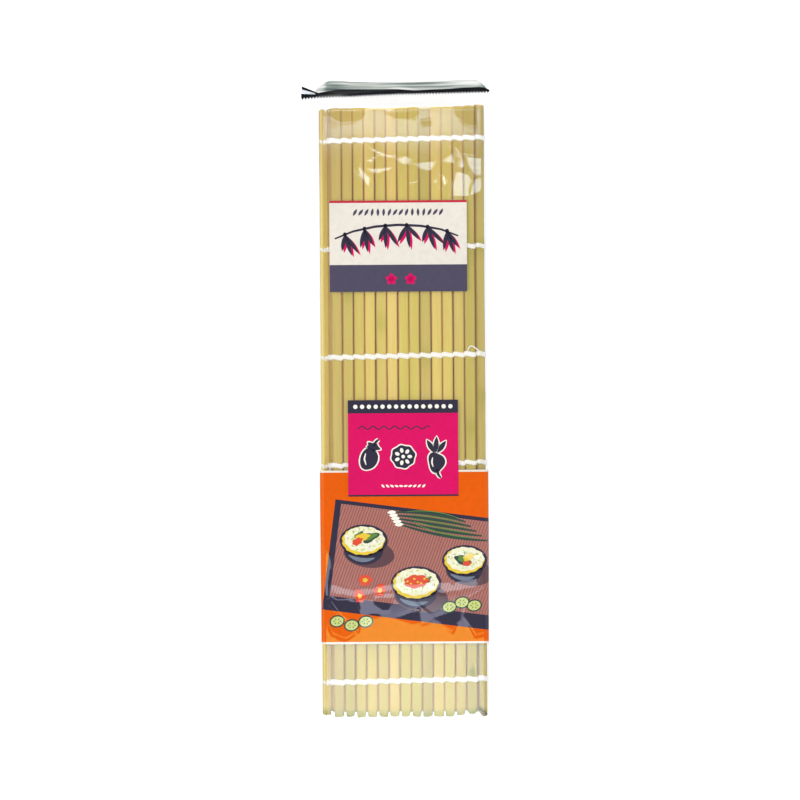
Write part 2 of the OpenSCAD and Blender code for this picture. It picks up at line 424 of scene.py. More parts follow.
class Paint(Enum):
    """The inks of the printed panels."""

    WHITE = InkFinish("ink_white", srgb(238, 230, 218))
    RED = InkFinish("ink_red", srgb(200, 8, 50))
    PURPLE = InkFinish("ink_purple", srgb(72, 62, 86))
    NAVY = InkFinish("ink_navy", srgb(30, 24, 46), shine=srgb(224, 224, 255))
    MAGENTA = InkFinish("ink_magenta", srgb(222, 0, 92), shine=srgb(255, 150, 230))
    ORANGE = InkFinish("ink_orange", srgb(237, 86, 6), shine=srgb(158, 236, 108))
    BOARD = InkFinish("ink_board", srgb(180, 112, 98), 0.75)
    CREAM = InkFinish("ink_cream", srgb(244, 242, 206))
    RICE = InkFinish("ink_rice", srgb(255, 253, 238))
    YELLOW = InkFinish("ink_yellow", srgb(236, 202, 40))
    GREEN = InkFinish("ink_green", srgb(92, 136, 44))
    LEAF = InkFinish("ink_leaf", srgb(34, 66, 44))
    CARROT = InkFinish("ink_carrot", srgb(228, 70, 18))
    STEEL = InkFinish("ink_steel", srgb(112, 122, 140))
    SHADE = InkFinish("ink_shade", srgb(92, 54, 58))
    PALE = InkFinish("ink_pale", srgb(208, 216, 128))


class Bench:
    """Holds the finished materials and hands finished pieces to the frame."""

    def __init__(self) -> None:
        """Starts with no material made."""
        self.materials: dict[object, bpy.types.Material] = {}
        self.count = 0

    def dress(self, piece: bpy.types.Object, finish: object) -> None:
        """Gives a piece one material all over.

        Args:
            piece: The piece.
            finish: A finish with a material method.
        """
        if finish not in self.materials:
            self.materials[finish] = finish.material()
        piece.data.materials.clear()
        piece.data.materials.append(self.materials[finish])

    def hand_over(self, piece: bpy.types.Object, finish: object, body: str, slot: str, *nodes: str) -> None:
        """Dresses a piece and puts it on its body.

        Args:
            piece: The piece.
            finish: Its finish.
            body: The body that it moves with.
            slot: The record's material slot; not used.
            *nodes: The nodes that it stands for.
        """
        self.dress(piece, finish)
        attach(piece, body)
        if nodes:
            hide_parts(*nodes)
        self.count += 1
        log.info("%s: %d faces, on %s", piece.name, len(piece.data.polygons), body)


def deselect() -> None:
    """Leaves nothing selected, in object mode."""
    if bpy.context.object and bpy.context.object.mode != "OBJECT":
        bpy.ops.object.mode_set(mode="OBJECT")
    bpy.ops.object.select_all(action="DESELECT")


def take(piece: bpy.types.Object) -> bpy.types.Object:
    """Selects one piece alone and makes it active."""
    deselect()
    piece.select_set(True)
    bpy.context.view_layer.objects.active = piece
    return piece


def pick_edges(piece: bpy.types.Object, wanted: Callable[[Vector, Vector], bool]) -> None:
    """Selects edges in edit mode by where their ends are.

    Args:
        piece: The piece, in edit mode.
        wanted: Says whether an edge between two points is wanted.
    """
    bpy.ops.mesh.select_mode(type="EDGE")
    bpy.ops.mesh.select_all(action="DESELECT")
    form = bmesh.from_edit_mesh(piece.data)
    for edge in form.edges:
        if wanted(edge.verts[0].co, edge.verts[1].co):
            edge.select_set(True)
    form.select_flush_mode()
    bmesh.update_edit_mesh(piece.data)


def apply_modifier(piece: bpy.types.Object, kind: str, **settings) -> None:
    """Adds a modifier to a piece and applies it.

    Args:
        piece: The piece.
        kind: Blender's name of the modifier type.
        **settings: The modifier's properties.
    """
    take(piece)
    modifier = piece.modifiers.new(kind.title(), kind)
    for name, value in settings.items():
        setattr(modifier, name, value)
    bpy.ops.object.modifier_apply(modifier=modifier.name)


def smooth(piece: bpy.types.Object, angle: float = 35.0) -> None:
    """Shades a piece smooth, with edges sharper than an angle in degrees kept."""
    take(piece)
    bpy.ops.object.shade_smooth_by_angle(angle=math.radians(angle))


def loft(name: str, rings: Sequence[Sequence[Sequence[float]]], closed: bool = True) -> bpy.types.Object:
    """Joins rings of points, in millimetres, into one surface.

    Args:
        name: The new object's name.
        rings: Rings with as many points each.
        closed: Whether each ring's last point joins its first.

    Returns:
        The new object.
    """
    size = len(rings[0])
    points = [tuple(c * MM for c in point) for ring in rings for point in ring]
    faces = []
    for r in range(len(rings) - 1):
        for i in range(size if closed else size - 1):
            j = (i + 1) % size
            faces.append((r * size + i, r * size + j, (r + 1) * size + j, (r + 1) * size + i))
    mesh = bpy.data.meshes.new(name)
    mesh.from_pydata(points, [], faces)
    piece = bpy.data.objects.new(name, mesh)
    bpy.context.scene.collection.objects.link(piece)
    return piece


def cut_along(
    mesh: bpy.types.Mesh,
    across: Sequence[float],
    along: Sequence[float],
    unit: float = 1.0,
    wanted: Callable[[Vector], bool] | None = None,
) -> None:
    """Cuts a mesh along straight lines, so that it can bend there.

    Args:
        mesh: The mesh.
        across: Places of the cuts that run along Y.
        along: Places of the cuts that run along X.
        unit: Length in the mesh of one unit of these places.
        wanted: Says by its middle whether a face is kept, or None to keep all.
    """
    form = bmesh.new()
    form.from_mesh(mesh)
    for axis, places in enumerate((across, along)):
        for place in places:
            at, normal = [0.0, 0.0, 0.0], [0.0, 0.0, 0.0]
            at[axis], normal[axis] = place * unit, 1.0
            parts = form.verts[:] + form.edges[:] + form.faces[:]
            bmesh.ops.bisect_plane(form, geom=parts, plane_co=at, plane_no=normal, dist=1e-4 * unit)
    if wanted:
        dropped = [face for face in form.faces if not wanted(face.calc_center_median())]
        bmesh.ops.delete(form, geom=dropped, context="FACES")
    form.to_mesh(mesh)
    form.free()


def write_tones(mesh: bpy.types.Mesh, name: str, values: Sequence[float]) -> None:
    """Writes one number for each point as an attribute."""
    mesh.attributes.new(name, "FLOAT", "POINT").data.foreach_set("value", values)


def face_out(piece: bpy.types.Object) -> None:
    """Merges a piece's doubled points and turns its faces outwards."""
    take(piece)
    bpy.ops.object.mode_set(mode="EDIT")
    bpy.ops.mesh.select_all(action="SELECT")
    bpy.ops.mesh.remove_doubles(threshold=1e-7)
    bpy.ops.mesh.normals_make_consistent(inside=False)
    bpy.ops.object.mode_set(mode="OBJECT")


def join(name: str, pieces: Sequence[bpy.types.Object]) -> bpy.types.Object:
    """Joins several pieces into the first one and names it."""
    take(pieces[0])
    for piece in pieces[1:]:
        piece.select_set(True)
    if len(pieces) > 1:
        bpy.ops.object.join()
    pieces[0].name = name
    return pieces[0]


@dataclass(frozen=True)
class Strip:
    """A stretch of the mat that lies in one plane, as one body holds it.

    Its own frame has u along the stretch, across the slats, and w out of its plane.
    """

    body: str
    nodes: tuple[str, ...]
    first: int
    order: int
    skin_turn: float
    hinges: tuple[str, ...] = ()
    tilted: bool = False

    def slope(self) -> float:
        """Gives the angle of u from X, which on a corner runs from its lower line to its upper one."""
        if not self.tilted:
            return 0.0
        low, high = sorted((hinge_line(h) for h in self.hinges), key=lambda line: line[1])
        return math.atan2(high[1] - low[1], high[0] - low[0])

    def centres(self, slat_w: float) -> list[Pair]:
        """Finds the slats' middles in the XZ plane, in the order of their numbers.

        Args:
            slat_w: Width of a slat, in millimetres.

        Returns:
            One point for each slat.
        """
        found = []
        for node in self.nodes:
            low, high = box_mm(node)
            middle = (low.z + high.z) / 2
            if "slats_" in node:
                ends = sorted((low.x + slat_w / 2, high.x - slat_w / 2), reverse=self.order < 0)
                found += [(x, middle) for x in ends]
            else:
                found.append(((low.x + high.x) / 2, middle))
        return found


def strips() -> list[Strip]:
    """Lists the mat's stretches from the front layer to the back one."""
    bodies = frame["record"]["behaviour"]["bodies"]

    def slats_of(body: str) -> tuple[str, ...]:
        """Names the slat nodes of a body, in order."""
        return tuple(sorted(n for n in bodies[body] if n.startswith("slat")))

    return [
        Strip("front_layer", slats_of("front_layer"), 1, 1, 0.0, ("corner_a_upper",)),
        Strip("corner_a", slats_of("corner_a"), 14, 1, 45.0, ("corner_a_lower", "corner_a_upper"), True),
        Strip("second_layer", slats_of("second_layer"), 15, -1, 180.0, ("corner_a_lower", "corner_b_upper")),
        Strip("corner_b", slats_of("corner_b"), 29, 1, 110.0, ("corner_b_lower", "corner_b_upper"), True),
        Strip("third_layer", slats_of("third_layer"), 30, 1, 0.0, ("corner_b_lower", "corner_c_upper")),
        Strip("corner_c", slats_of("corner_c"), 43, 1, 70.0, ("unfold", "corner_c_upper"), True),
        Strip("back_layer", slats_of("back_layer"), 44, -1, 180.0, ("unfold",)),
    ]


@dataclass
class Slats:
    """The split bamboo slats, one blank copied and made uneven."""

    bench: Bench
    plump: float = 0.24
    edge_r: float = 0.22
    end_r: float = 0.25
    edge_segments: int = 3
    top_cuts: int = 4
    long_cuts: int = 84
    crowd: float = 1.5
    crown: float = 0.06
    corner_cuts: Pair = (0.5, 0.5)
    end_spread: Pair = (0.03, 0.085)
    end_waist: float = 0.16
    # painted shade starts this far along the slats and reaches full over the run below
    shaded_from: float = 86.0
    shaded_run: float = 28.0
    tucked_slat: int = 28
    slant_slat: int = 14
    slant_cut: float = 3.4
    slant_rise: float = 0.5
    short_slats: tuple[Pair, ...] = ((12, 0.4), (13, 1.0))
    hidden_trim: float = 1.7
    splinter: float = 1.7
    bud_slat: int = 13
    bud_at: Pair = (0.0, -115.3)
    stout_slat: int = 29
    stout_share: float = 1.8
    golden_slat: int = 4
    rise: float = 0.6
    seed: int = 11
    finish: BambooFinish = field(default_factory=BambooFinish)

    def __post_init__(self) -> None:
        """Takes a slat's size from the frame."""
        low, high = box_mm("slat_01")
        self.width, self.length, self.thick = high - low
        self.tilted = [strip.first for strip in strips() if strip.tilted]

    def blank(self) -> bpy.types.Object:
        """Models one even slat, with round long edges and eased ends."""
        deselect()
        bpy.ops.mesh.primitive_cube_add(size=1.0)
        piece = bpy.context.object
        piece.scale = ((self.width + self.plump) * MM, self.length * MM, self.thick * MM)
        bpy.ops.object.transform_apply(location=False, rotation=False, scale=True)
        half = self.length * MM / 2
        bpy.ops.object.mode_set(mode="EDIT")
        pick_edges(piece, lambda a, b: abs(a.y - b.y) > half)
        bpy.ops.mesh.bevel(offset=self.edge_r * MM, segments=self.edge_segments, affect="EDGES")
        pick_edges(piece, lambda a, b: min(abs(a.y), abs(b.y)) > half * 0.9999)
        bpy.ops.mesh.bevel(offset=self.end_r * MM, segments=2, affect="EDGES")
        pick_edges(piece, lambda a, b: abs(a.x - b.x) > self.width * MM / 3)
        bpy.ops.mesh.subdivide(number_cuts=self.top_cuts)
        pick_edges(piece, lambda a, b: abs(a.y - b.y) > half)
        bpy.ops.mesh.subdivide(number_cuts=self.long_cuts)
        bpy.ops.object.mode_set(mode="OBJECT")
        for vertex in piece.data.vertices:
            share = 1 - abs(vertex.co.y) / half
            if share * half > self.end_r * 1.1 * MM:
                vertex.co.y = math.copysign(half * (1 - share**self.crowd), vertex.co.y)
        return piece

    def carve(self, mesh: bpy.types.Mesh, number: int, odds: random.Random, shift: float) -> None:
        """Makes a copy of the blank uneven and writes its grain map and traits.

        Args:
            mesh: The copy's mesh, about the origin.
            number: The slat's number, counted from the front layer's free edge.
            odds: Source of its small differences.
            shift: How far its upper end stands out.
        """
        if number == self.bud_slat:
            middle = self.bud_at[1]
            cut_along(mesh, steps(-1.6, 1.6, 0.4), steps(middle - 3, middle + 3, 0.5), MM)
        flat = np.zeros(len(mesh.vertices) * 3)
        mesh.vertices.foreach_get("co", flat)
        x, y, z = (flat.reshape(-1, 3) / MM).T
        half_w, half_l, half_t = self.width / 2, self.length / 2, self.thick / 2
        across, along, up = x / half_w, y / half_l, z / half_t
        phase = odds.uniform(0, 2 * math.pi)
        bow = odds.uniform(-0.1, 0.1)
        swell = np.zeros_like(y)
        for _ in range(odds.choice((0, 0, 1, 1, 2))):
            swell += np.exp(-(((y - odds.uniform(-0.85, 0.85) * half_l) / 4.0) ** 2))
        wave = 0.025 * np.sin(y / 17 + phase) + 0.015 * np.sin(y / 6.1 + 2 * phase)
        new_x = x * (1 + odds.uniform(-0.015, 0.015)) + wave * np.sign(x) + bow * (1 - along**2)
        spread = np.where(y > 0, self.end_spread[1], self.end_spread[0])
        new_x *= 1 + spread * np.clip((np.abs(y) - (half_l - 36.0)) / 28.0, 0, 1)
        waist = self.end_waist * odds.uniform(0.2, 1.4) * np.clip((-y - (half_l - 2.1)) / 0.6, 0, 1)
        new_x = (new_x * (1 - (0 if number in self.tilted else 1) * waist)) + 0.05 * swell * across
        new_z = z + np.where(z > 0, 1.0, 0.0) * (self.crown * (1 - across**2) + 0.07 * swell) * np.minimum(1, up + 0.5)
        end = np.clip((np.abs(y) - (half_l - 6.0)) / 6.0, 0, 1)
        lean = np.where(y > 0, odds.uniform(-0.12, 0.12), odds.uniform(-0.25, 0.25))
        trim = np.where(y > 0, odds.uniform(-0.1, 0.1), odds.uniform(-0.1, 0.3))
        corner = np.where(y > 0, self.corner_cuts[1], self.corner_cuts[0])
        corner = corner * np.where(across > 0, odds.uniform(0.35, 1.2), odds.uniform(0.35, 1.2))
        cut = np.zeros_like(y)
        if number > self.slant_slat and number != self.stout_slat:
            trim = trim + np.where(y > 0, 0.0, self.hidden_trim)
        trim = trim + np.where(y > 0, 0.0, dict(self.short_slats).get(number, 0.0))
        # painted shade: the tucked slat, in shade under slat 1, is darkened with the dark brown
        if number == self.tucked_slat:
            cut = np.full_like(y, 0.3)
        if number == self.slant_slat:
            below = self.splinter * np.clip(0.2 - up, 0, 1) * (1 - 0.6 * np.abs(across))
            lean = np.where(y > 0, lean, -self.slant_cut / 2)
            trim = np.where(y > 0, trim - self.slant_rise, self.slant_cut / 2 - below)
            # painted shadow: the top face's last 0.8 mm at the slanted lower end takes the dark brown
            cut = ((y < 0.8 - half_l) & (up > 0.5)) * 1.0
            corner = corner * 0.2
        if number == self.stout_slat:
            corner = corner * np.where(y > 0, 3.0, 1.0)
        new_y = y - np.sign(y) * end * (trim + lean * across + corner * np.abs(across) ** 5)
        new_y += shift * (along + 1) / 2
        bud = np.zeros_like(y)
        if number == self.bud_slat:
            bud = np.exp(-(((x - self.bud_at[0]) / 1.0) ** 2) - ((y - self.bud_at[1]) / 1.7) ** 2) * (z > 0)
            new_z += 0.2 * bud
        if number == self.stout_slat:
            new_z = np.where(z < 0, new_z * self.stout_share, new_z)
        mesh.vertices.foreach_set("co", np.stack([new_x, new_y, new_z], 1).ravel() * MM)
        self.write_map(mesh, x + z, y, number)
        warmth, level = odds.uniform(0.1, 0.8), odds.random()
        told = {self.golden_slat: (0.4, 1.0), self.stout_slat: (0.0, 0.65), self.slant_slat: (0.35, 0.1),
                self.tucked_slat: (1.0, 0.2)}
        warmth, level = told.get(number, (warmth, level))
        low_end = odds.uniform(0.6, 1.0) * np.clip((-y - (half_l - 4.0)) / 3.0, 0, 1)
        pale_end_and_lift = odds.uniform(0.6, 1.0) * np.clip((y - (half_l - 1.2)) / 0.7, 0, 1)
        # painted light: the stout and tucked slats lie in shade and are lifted towards the pale colour all over
        if number in (self.stout_slat, self.tucked_slat):
            pale_end_and_lift = np.maximum(pale_end_and_lift, 0.75)
        edge = np.clip(np.abs(across) - self.plump / self.width, 0, 1) * (0 if number in self.tilted else 1)
        # the tucked slat takes the split colour all over, so that with its painted shade and painted light it shows
        # under slat 1 as an orange line
        if number == self.tucked_slat:
            edge = np.ones_like(x)
        self.write_colours(mesh, "traits", np.full_like(x, warmth), np.full_like(x, level), edge, cut)
        spots = np.clip(swell * 0.4 + low_end + 2.5 * bud, 0, 1)
        skin = np.clip(up * 2 + 0.5, 0, 1) if number not in self.tilted else np.ones_like(x)
        # painted shade: 0 up to its start, rising to 1 towards the upper ends
        shaded = np.clip((y - self.shaded_from) / self.shaded_run, 0, 1)
        self.write_colours(mesh, "marks_and_painted_light", spots, skin, pale_end_and_lift, shaded)

    def write_map(self, mesh: bpy.types.Mesh, u: np.ndarray, v: np.ndarray, number: int) -> None:
        """Writes the grain map, in millimetres, shifted for each slat.

        Args:
            mesh: The slat's mesh.
            u: Place across the grain, for each point.
            v: Place along the grain, for each point.
            number: The slat's number.
        """
        corners = np.zeros(len(mesh.loops), dtype=np.int32)
        mesh.loops.foreach_get("vertex_index", corners)
        grain = np.stack([u[corners] + 37.0 * number, v[corners] + 411.0 * number], 1)
        mesh.uv_layers.new(name="grain").data.foreach_set("uv", grain.ravel())

    def write_colours(self, mesh: bpy.types.Mesh, name: str, *parts: np.ndarray) -> None:
        """Writes four numbers for each point as one colour attribute."""
        values = np.stack(parts, 1)
        mesh.attributes.new(name, "FLOAT_COLOR", "POINT").data.foreach_set("color", values.ravel())

    def build(self) -> None:
        """Places every slat of the mat."""
        blank = self.blank()
        for strip in strips():
            for i, (x, z) in enumerate(strip.centres(self.width)):
                number = strip.first + i
                piece = bpy.data.objects.new(f"bamboo_slat_{number:02d}", blank.data.copy())
                bpy.context.scene.collection.objects.link(piece)
                shift = self.rise * x / 37 if strip.first < 15 else 0.0
                self.carve(piece.data, number, random.Random(self.seed * 1000 + number), shift)
                turn = Matrix.Rotation(math.radians(strip.skin_turn), 4, "Y")
                piece.data.transform(Matrix.Translation((x * MM, 0, z * MM)) @ turn)
                smooth(piece, 50.0)
                node = strip.nodes[i] if len(strip.nodes) > i and "slats_" not in strip.nodes[0] else None
                node = node or next(n for n in strip.nodes if str(number) in n.split("_")[1:])
                self.bench.hand_over(piece, self.finish, strip.body, "bamboo", node)
        bpy.data.objects.remove(blank)


@dataclass
class CordRows:
    """The cotton strands twined round the slats, in rows, with their knots."""

    bench: Bench
    slat_w: float
    slat_t: float
    pitch: float
    edge_r: float = 0.5
    rows: int = 6
    row_pitch: float = 47.9
    thick: float = 0.4
    narrow: float = 1.06
    wide: float = 1.14
    sway: float = 0.3
    row_shift: float = 0.9
    slope: float = 0.019
    front_z: float = 18.2
    sight: float = 1180.0
    clear: float = 0.03
    ring_step: float = 0.4
    sides: int = 10
    lay: float = 2.6
    knot_r: float = 1.15
    radius_of_loop: float = 0.28
    loop_points: tuple[tuple[float, float, float], ...] = (
        (27.4, 23.6, 0.1), (27.8, 25.4, 0.1), (28.4, 27.6, 0.1), (29.4, 28.9, 0.1), (30.7, 28.7, 0.1),
        (31.9, 27.8, 0.05), (32.9, 27.0, -0.3), (33.9, 26.0, -0.9), (34.4, 25.2, -1.3),
    )
    finish: CottonFinish = field(default_factory=CottonFinish)

    def row_places(self) -> list[float]:
        """Lists the rows' places along the slats."""
        return [(i - (self.rows - 1) / 2) * self.row_pitch + self.row_shift for i in range(self.rows)]

    def pass_over(self, side: int) -> list[tuple[float, float, float]]:
        """Traces one strand past one slat, from gap to gap.

        Args:
            side: 1 to pass over the slat, -1 to pass under it.

        Returns:
            Points of u from the slat's middle, w, and the sway along the row.
        """
        corner_u = self.slat_w / 2 - self.edge_r
        corner_w = self.slat_t / 2 - self.edge_r
        reach = self.edge_r + self.thick + self.clear
        points = [(-self.pitch / 2, 0.0)]
        for i in range(7):
            angle = math.pi - i * math.pi / 12
            points.append((-corner_u + reach * math.cos(angle), corner_w + reach * math.sin(angle)))
        points += [(u, corner_w + reach) for u in steps(-corner_u, corner_u, self.ring_step)[1:-1]]
        points += [(-u, w) for u, w in reversed(points[:8])]
        traced = []
        for u, w in points:
            share = ease((u + corner_u + 0.2) / (2 * corner_u + 0.4))
            traced.append((u, w * side, side * self.sway * (1 - 2 * share)))
        return traced

    def trace(self, middles: Sequence[float], start: Pair | None, end: Pair | None, first: int) -> list:
        """Traces one strand along a strip.

        Args:
            middles: The slats' middles along u.
            start: The turning line that the strip starts at, or None at a free edge.
            end: The turning line that the strip ends at, or None.
            first: 1 or -1, the side on which the strand passes the first slat.

        Returns:
            Points of u, w and sway.
        """
        path = []
        for i, middle in enumerate(middles):
            side = first if i % 2 == 0 else -first
            path += [(middle + u, w, y) for u, w, y in self.pass_over(side)][(1 if i else 0):]
        for line, at_end in ((start, False), (end, True)):
            if line is None:
                continue
            if at_end:
                path.reverse()
            while len(path) > 2 and self.beyond(path[0], path[1], line):
                path.pop(0)
            path.insert(0, (line[0], line[1], path[0][2]))
            if at_end:
                path.reverse()
        return path

    def beyond(self, point: Sequence[float], after: Sequence[float], line: Pair) -> bool:
        """Says whether a strand's point lies past the turning line that it has to end at."""
        gap = self.pitch / 2 - self.slat_w / 2
        return abs(point[0] - line[0]) < gap and (point[1] - line[1]) * (after[1] - line[1]) < 0 or (
            abs(point[0] - line[0]) < gap and abs(point[1]) < abs(line[1]) and after[1] * line[1] > 0
        )

    def strand(self, path: Sequence[Sequence[float]], place: Callable, row_y: float) -> bpy.types.Object:
        """Makes one two-ply strand along a traced path.

        Args:
            path: Points of u, w and sway.
            place: Turns u and w into X and Z.
            row_y: The row's place along Y.

        Returns:
            The strand as a mesh.
        """
        centre = []
        for u, w, y in path:
            x, z = place(u, w)
            deep = min(9.0, max(0.0, self.front_z - z))
            centre.append(Vector((x, row_y * (1 + deep / self.sight) + y + self.slope * x, z)))
        height = self.slat_t / 2
        rings, run = [], 0.0
        for i, point in enumerate(centre):
            before, after = centre[max(0, i - 1)], centre[min(len(centre) - 1, i + 1)]
            along = (after - before).normalized()
            run += (point - before).length
            side = (Vector((0, 1, 0)) - along * along.y).normalized()
            out = along.cross(side)
            width = self.narrow + (self.wide - self.narrow) * ease(abs(path[i][1]) / height - 0.2)
            width *= 1 + 0.07 * math.sin(run / 3.1 + row_y)
            twist = 2 * math.pi * run / self.lay
            rings.append(self.ring(point, side * width, out * self.thick, twist))
        for at, inner in ((0, 1), (-1, -2)):
            tip = centre[at] + (centre[at] - centre[inner]).normalized() * self.thick * 0.8
            shrunk = [tip + (Vector(p) - centre[at]) * 0.45 for p in rings[at]]
            rings.insert(0, shrunk) if at == 0 else rings.append(shrunk)
        piece = loft("strand", rings)
        self.close_ends(piece)
        self.write_map(piece.data, len(rings))
        return piece

    def ring(self, point: Vector, side: Vector, out: Vector, twist: float) -> list[Vector]:
        """Draws one section of a strand, with the furrows between its two plies."""
        points = []
        for k in range(self.sides):
            angle = 2 * math.pi * k / self.sides
            lobes = 0.91 + 0.09 * math.cos(2 * (angle - twist))
            points.append(point + side * (lobes * math.cos(angle)) + out * (lobes * math.sin(angle)))
        return points

    def close_ends(self, piece: bpy.types.Object) -> None:
        """Fills the two open ends of a strand and turns its faces outwards."""
        take(piece)
        bpy.ops.object.mode_set(mode="EDIT")
        bpy.ops.mesh.select_all(action="SELECT")
        bpy.ops.mesh.fill_holes(sides=self.sides)
        bpy.ops.mesh.normals_make_consistent(inside=False)
        bpy.ops.object.mode_set(mode="OBJECT")

    def write_map(self, mesh: bpy.types.Mesh, rings: int) -> None:
        """Writes the yarn map: round the strand and along it."""
        corners = np.zeros(len(mesh.loops), dtype=np.int32)
        mesh.loops.foreach_get("vertex_index", corners)
        yarn = np.stack([(corners % self.sides) * 0.3, (corners // self.sides) * self.ring_step], 1)
        mesh.uv_layers.new(name="yarn").data.foreach_set("uv", yarn.ravel())

    def knot(self, x: float, z: float, row_y: float, turn: float) -> bpy.types.Object:
        """Ties a small overhand knot with a short tail.

        Args:
            x: The knot's middle along X.
            z: Its height.
            row_y: Its row.
            turn: How far it is turned about Z, in radians.

        Returns:
            The knot as a mesh.
        """
        size = self.knot_r / 3.9
        yarn_r = 0.36
        centre = []
        for i in range(60):
            t = 2 * math.pi * i / 60
            loop = (math.sin(t) + 2 * math.sin(2 * t), math.cos(t) - 2 * math.cos(2 * t), -1.6 * math.sin(3 * t))
            centre.append(Vector(loop) * size)
        spin = Matrix.Rotation(turn, 3, "Z")
        middle = Vector((x, row_y + self.slope * x, z))
        rings = []
        for i, point in enumerate(centre):
            along = (centre[(i + 1) % 60] - centre[i - 1]).normalized()
            side = along.orthogonal().normalized()
            side = (Vector((0.3, 0.2, 1.0)) - along * along.dot(Vector((0.3, 0.2, 1.0)))).normalized()
            out = along.cross(side)
            ring = self.ring(point, side * yarn_r, out * yarn_r, i * 0.5)
            rings.append([middle + spin @ p for p in ring])
        rings.append(rings[0])
        body = loft("knot", rings)
        self.write_map(body.data, len(rings))
        face_out(body)
        tail = []
        for i in range(10):
            share = i / 9
            at = Vector((-0.3 - 1.1 * share, 0.9 * share**2, -0.1 * share)) * 1.5
            tail.append(middle + spin @ at)
        return join("knot", [body, self.thread(tail, 0.3, 0.1)])

    def thread(self, points: Sequence[Vector], radius: float, flare: float) -> bpy.types.Object:
        """Makes a short thin thread.

        Args:
            points: Points along its middle.
            radius: Its radius.
            flare: How much wider it frays at its end.

        Returns:
            The thread as a mesh.
        """
        rings, last = [], len(points) - 1
        for i, point in enumerate(points):
            size = radius + flare * (i / last) ** 3
            along = (points[min(last, i + 1)] - points[max(0, i - 1)]).normalized()
            side = (Vector((0, 0, 1)) - along * along.z).normalized()
            rings.append(self.ring(point, side * size, along.cross(side) * size, i * 0.7))
        piece = loft("thread", rings)
        self.close_ends(piece)
        self.write_map(piece.data, len(rings))
        return piece

    def loose_end(self) -> None:
        """Lays the thread that stands out of the third row in a small loop."""
        top = box_mm("slat_01")[1].z + self.radius_of_loop
        corners = [Vector((x, y, top + up)) for x, y, up in self.loop_points]
        points = []
        for before, start, end, after in zip(corners, corners[1:], corners[2:], corners[3:]):
            for k in steps(0, 1, 0.2)[:-1]:
                bend = (2 * start + (end - before) * k + (2 * before - 5 * start + 4 * end - after) * k**2
                        + (3 * start - before - 3 * end + after) * k**3)
                points.append(bend / 2)
        piece = self.thread(points, self.radius_of_loop, 0.15)
        piece.name = "cord_loose_end"
        smooth(piece, 60.0)
        self.bench.hand_over(piece, self.finish, "front_layer", "cord", "cords_front")

    def build(self) -> None:
        """Twines every row round every strip."""
        for strip in strips():
            places = strip.centres(self.slat_w)
            slope = strip.slope()
            origin = (0.0, places[0][1]) if not strip.tilted else places[0]
            place = lambda u, w, o=origin, a=slope: (
                o[0] + u * math.cos(a) - w * math.sin(a), o[1] + u * math.sin(a) + w * math.cos(a))
            local = lambda p, o=origin, a=slope: (
                (p[0] - o[0]) * math.cos(a) + (p[1] - o[1]) * math.sin(a),
                (p[1] - o[1]) * math.cos(a) - (p[0] - o[0]) * math.sin(a))
            middles = sorted(local(p)[0] for p in places)
            lines = sorted(local(hinge_line(h)) for h in strip.hinges)
            start = next((line for line in lines if line[0] < middles[0]), None)
            end = next((line for line in lines if line[0] > middles[-1]), None)
            node = "cords_" + strip.body.replace("_layer", "")
            for r, row_y in enumerate(self.row_places()):
                first = 1 if r % 2 == 0 else -1
                pair = [
                    self.strand(self.trace(middles, start, end, first * side), place, row_y) for side in (1, -1)
                ]
                if start is None:
                    edge = middles[0] - self.slat_w / 2 - self.knot_r
                    pair.append(self.knot(*place(edge, 0.0), row_y, 0.9 * r))
                piece = join(f"cord_{strip.body}_row_{r + 1}", pair)
                smooth(piece, 60.0)
                self.bench.hand_over(piece, self.finish, strip.body, "cord", node)
        self.loose_end()


@dataclass(frozen=True)
class Facet:
    """A flat place in the crinkled film that leans along the packet.

    Its corners run round it anticlockwise.
    """

    corners: tuple[Pair, ...]
    lean: float
    rim: float = 0.35
    reach: float = 0.6

    def lift(self, x: float, y: float) -> float:
        """Gives how far the facet lifts the film at a point."""
        inside = math.inf
        for (ax, ay), (bx, by) in zip(self.corners, self.corners[1:] + self.corners[:1]):
            across = ((bx - ax) * (y - ay) - (by - ay) * (x - ax)) / math.hypot(bx - ax, by - ay)
            if across <= -self.reach:
                return 0.0
            inside = min(inside, across)
        middle = sum(corner[1] for corner in self.corners) / len(self.corners)
        return self.lean * (y - middle) * min(1.0, (inside + self.reach) / self.rim)


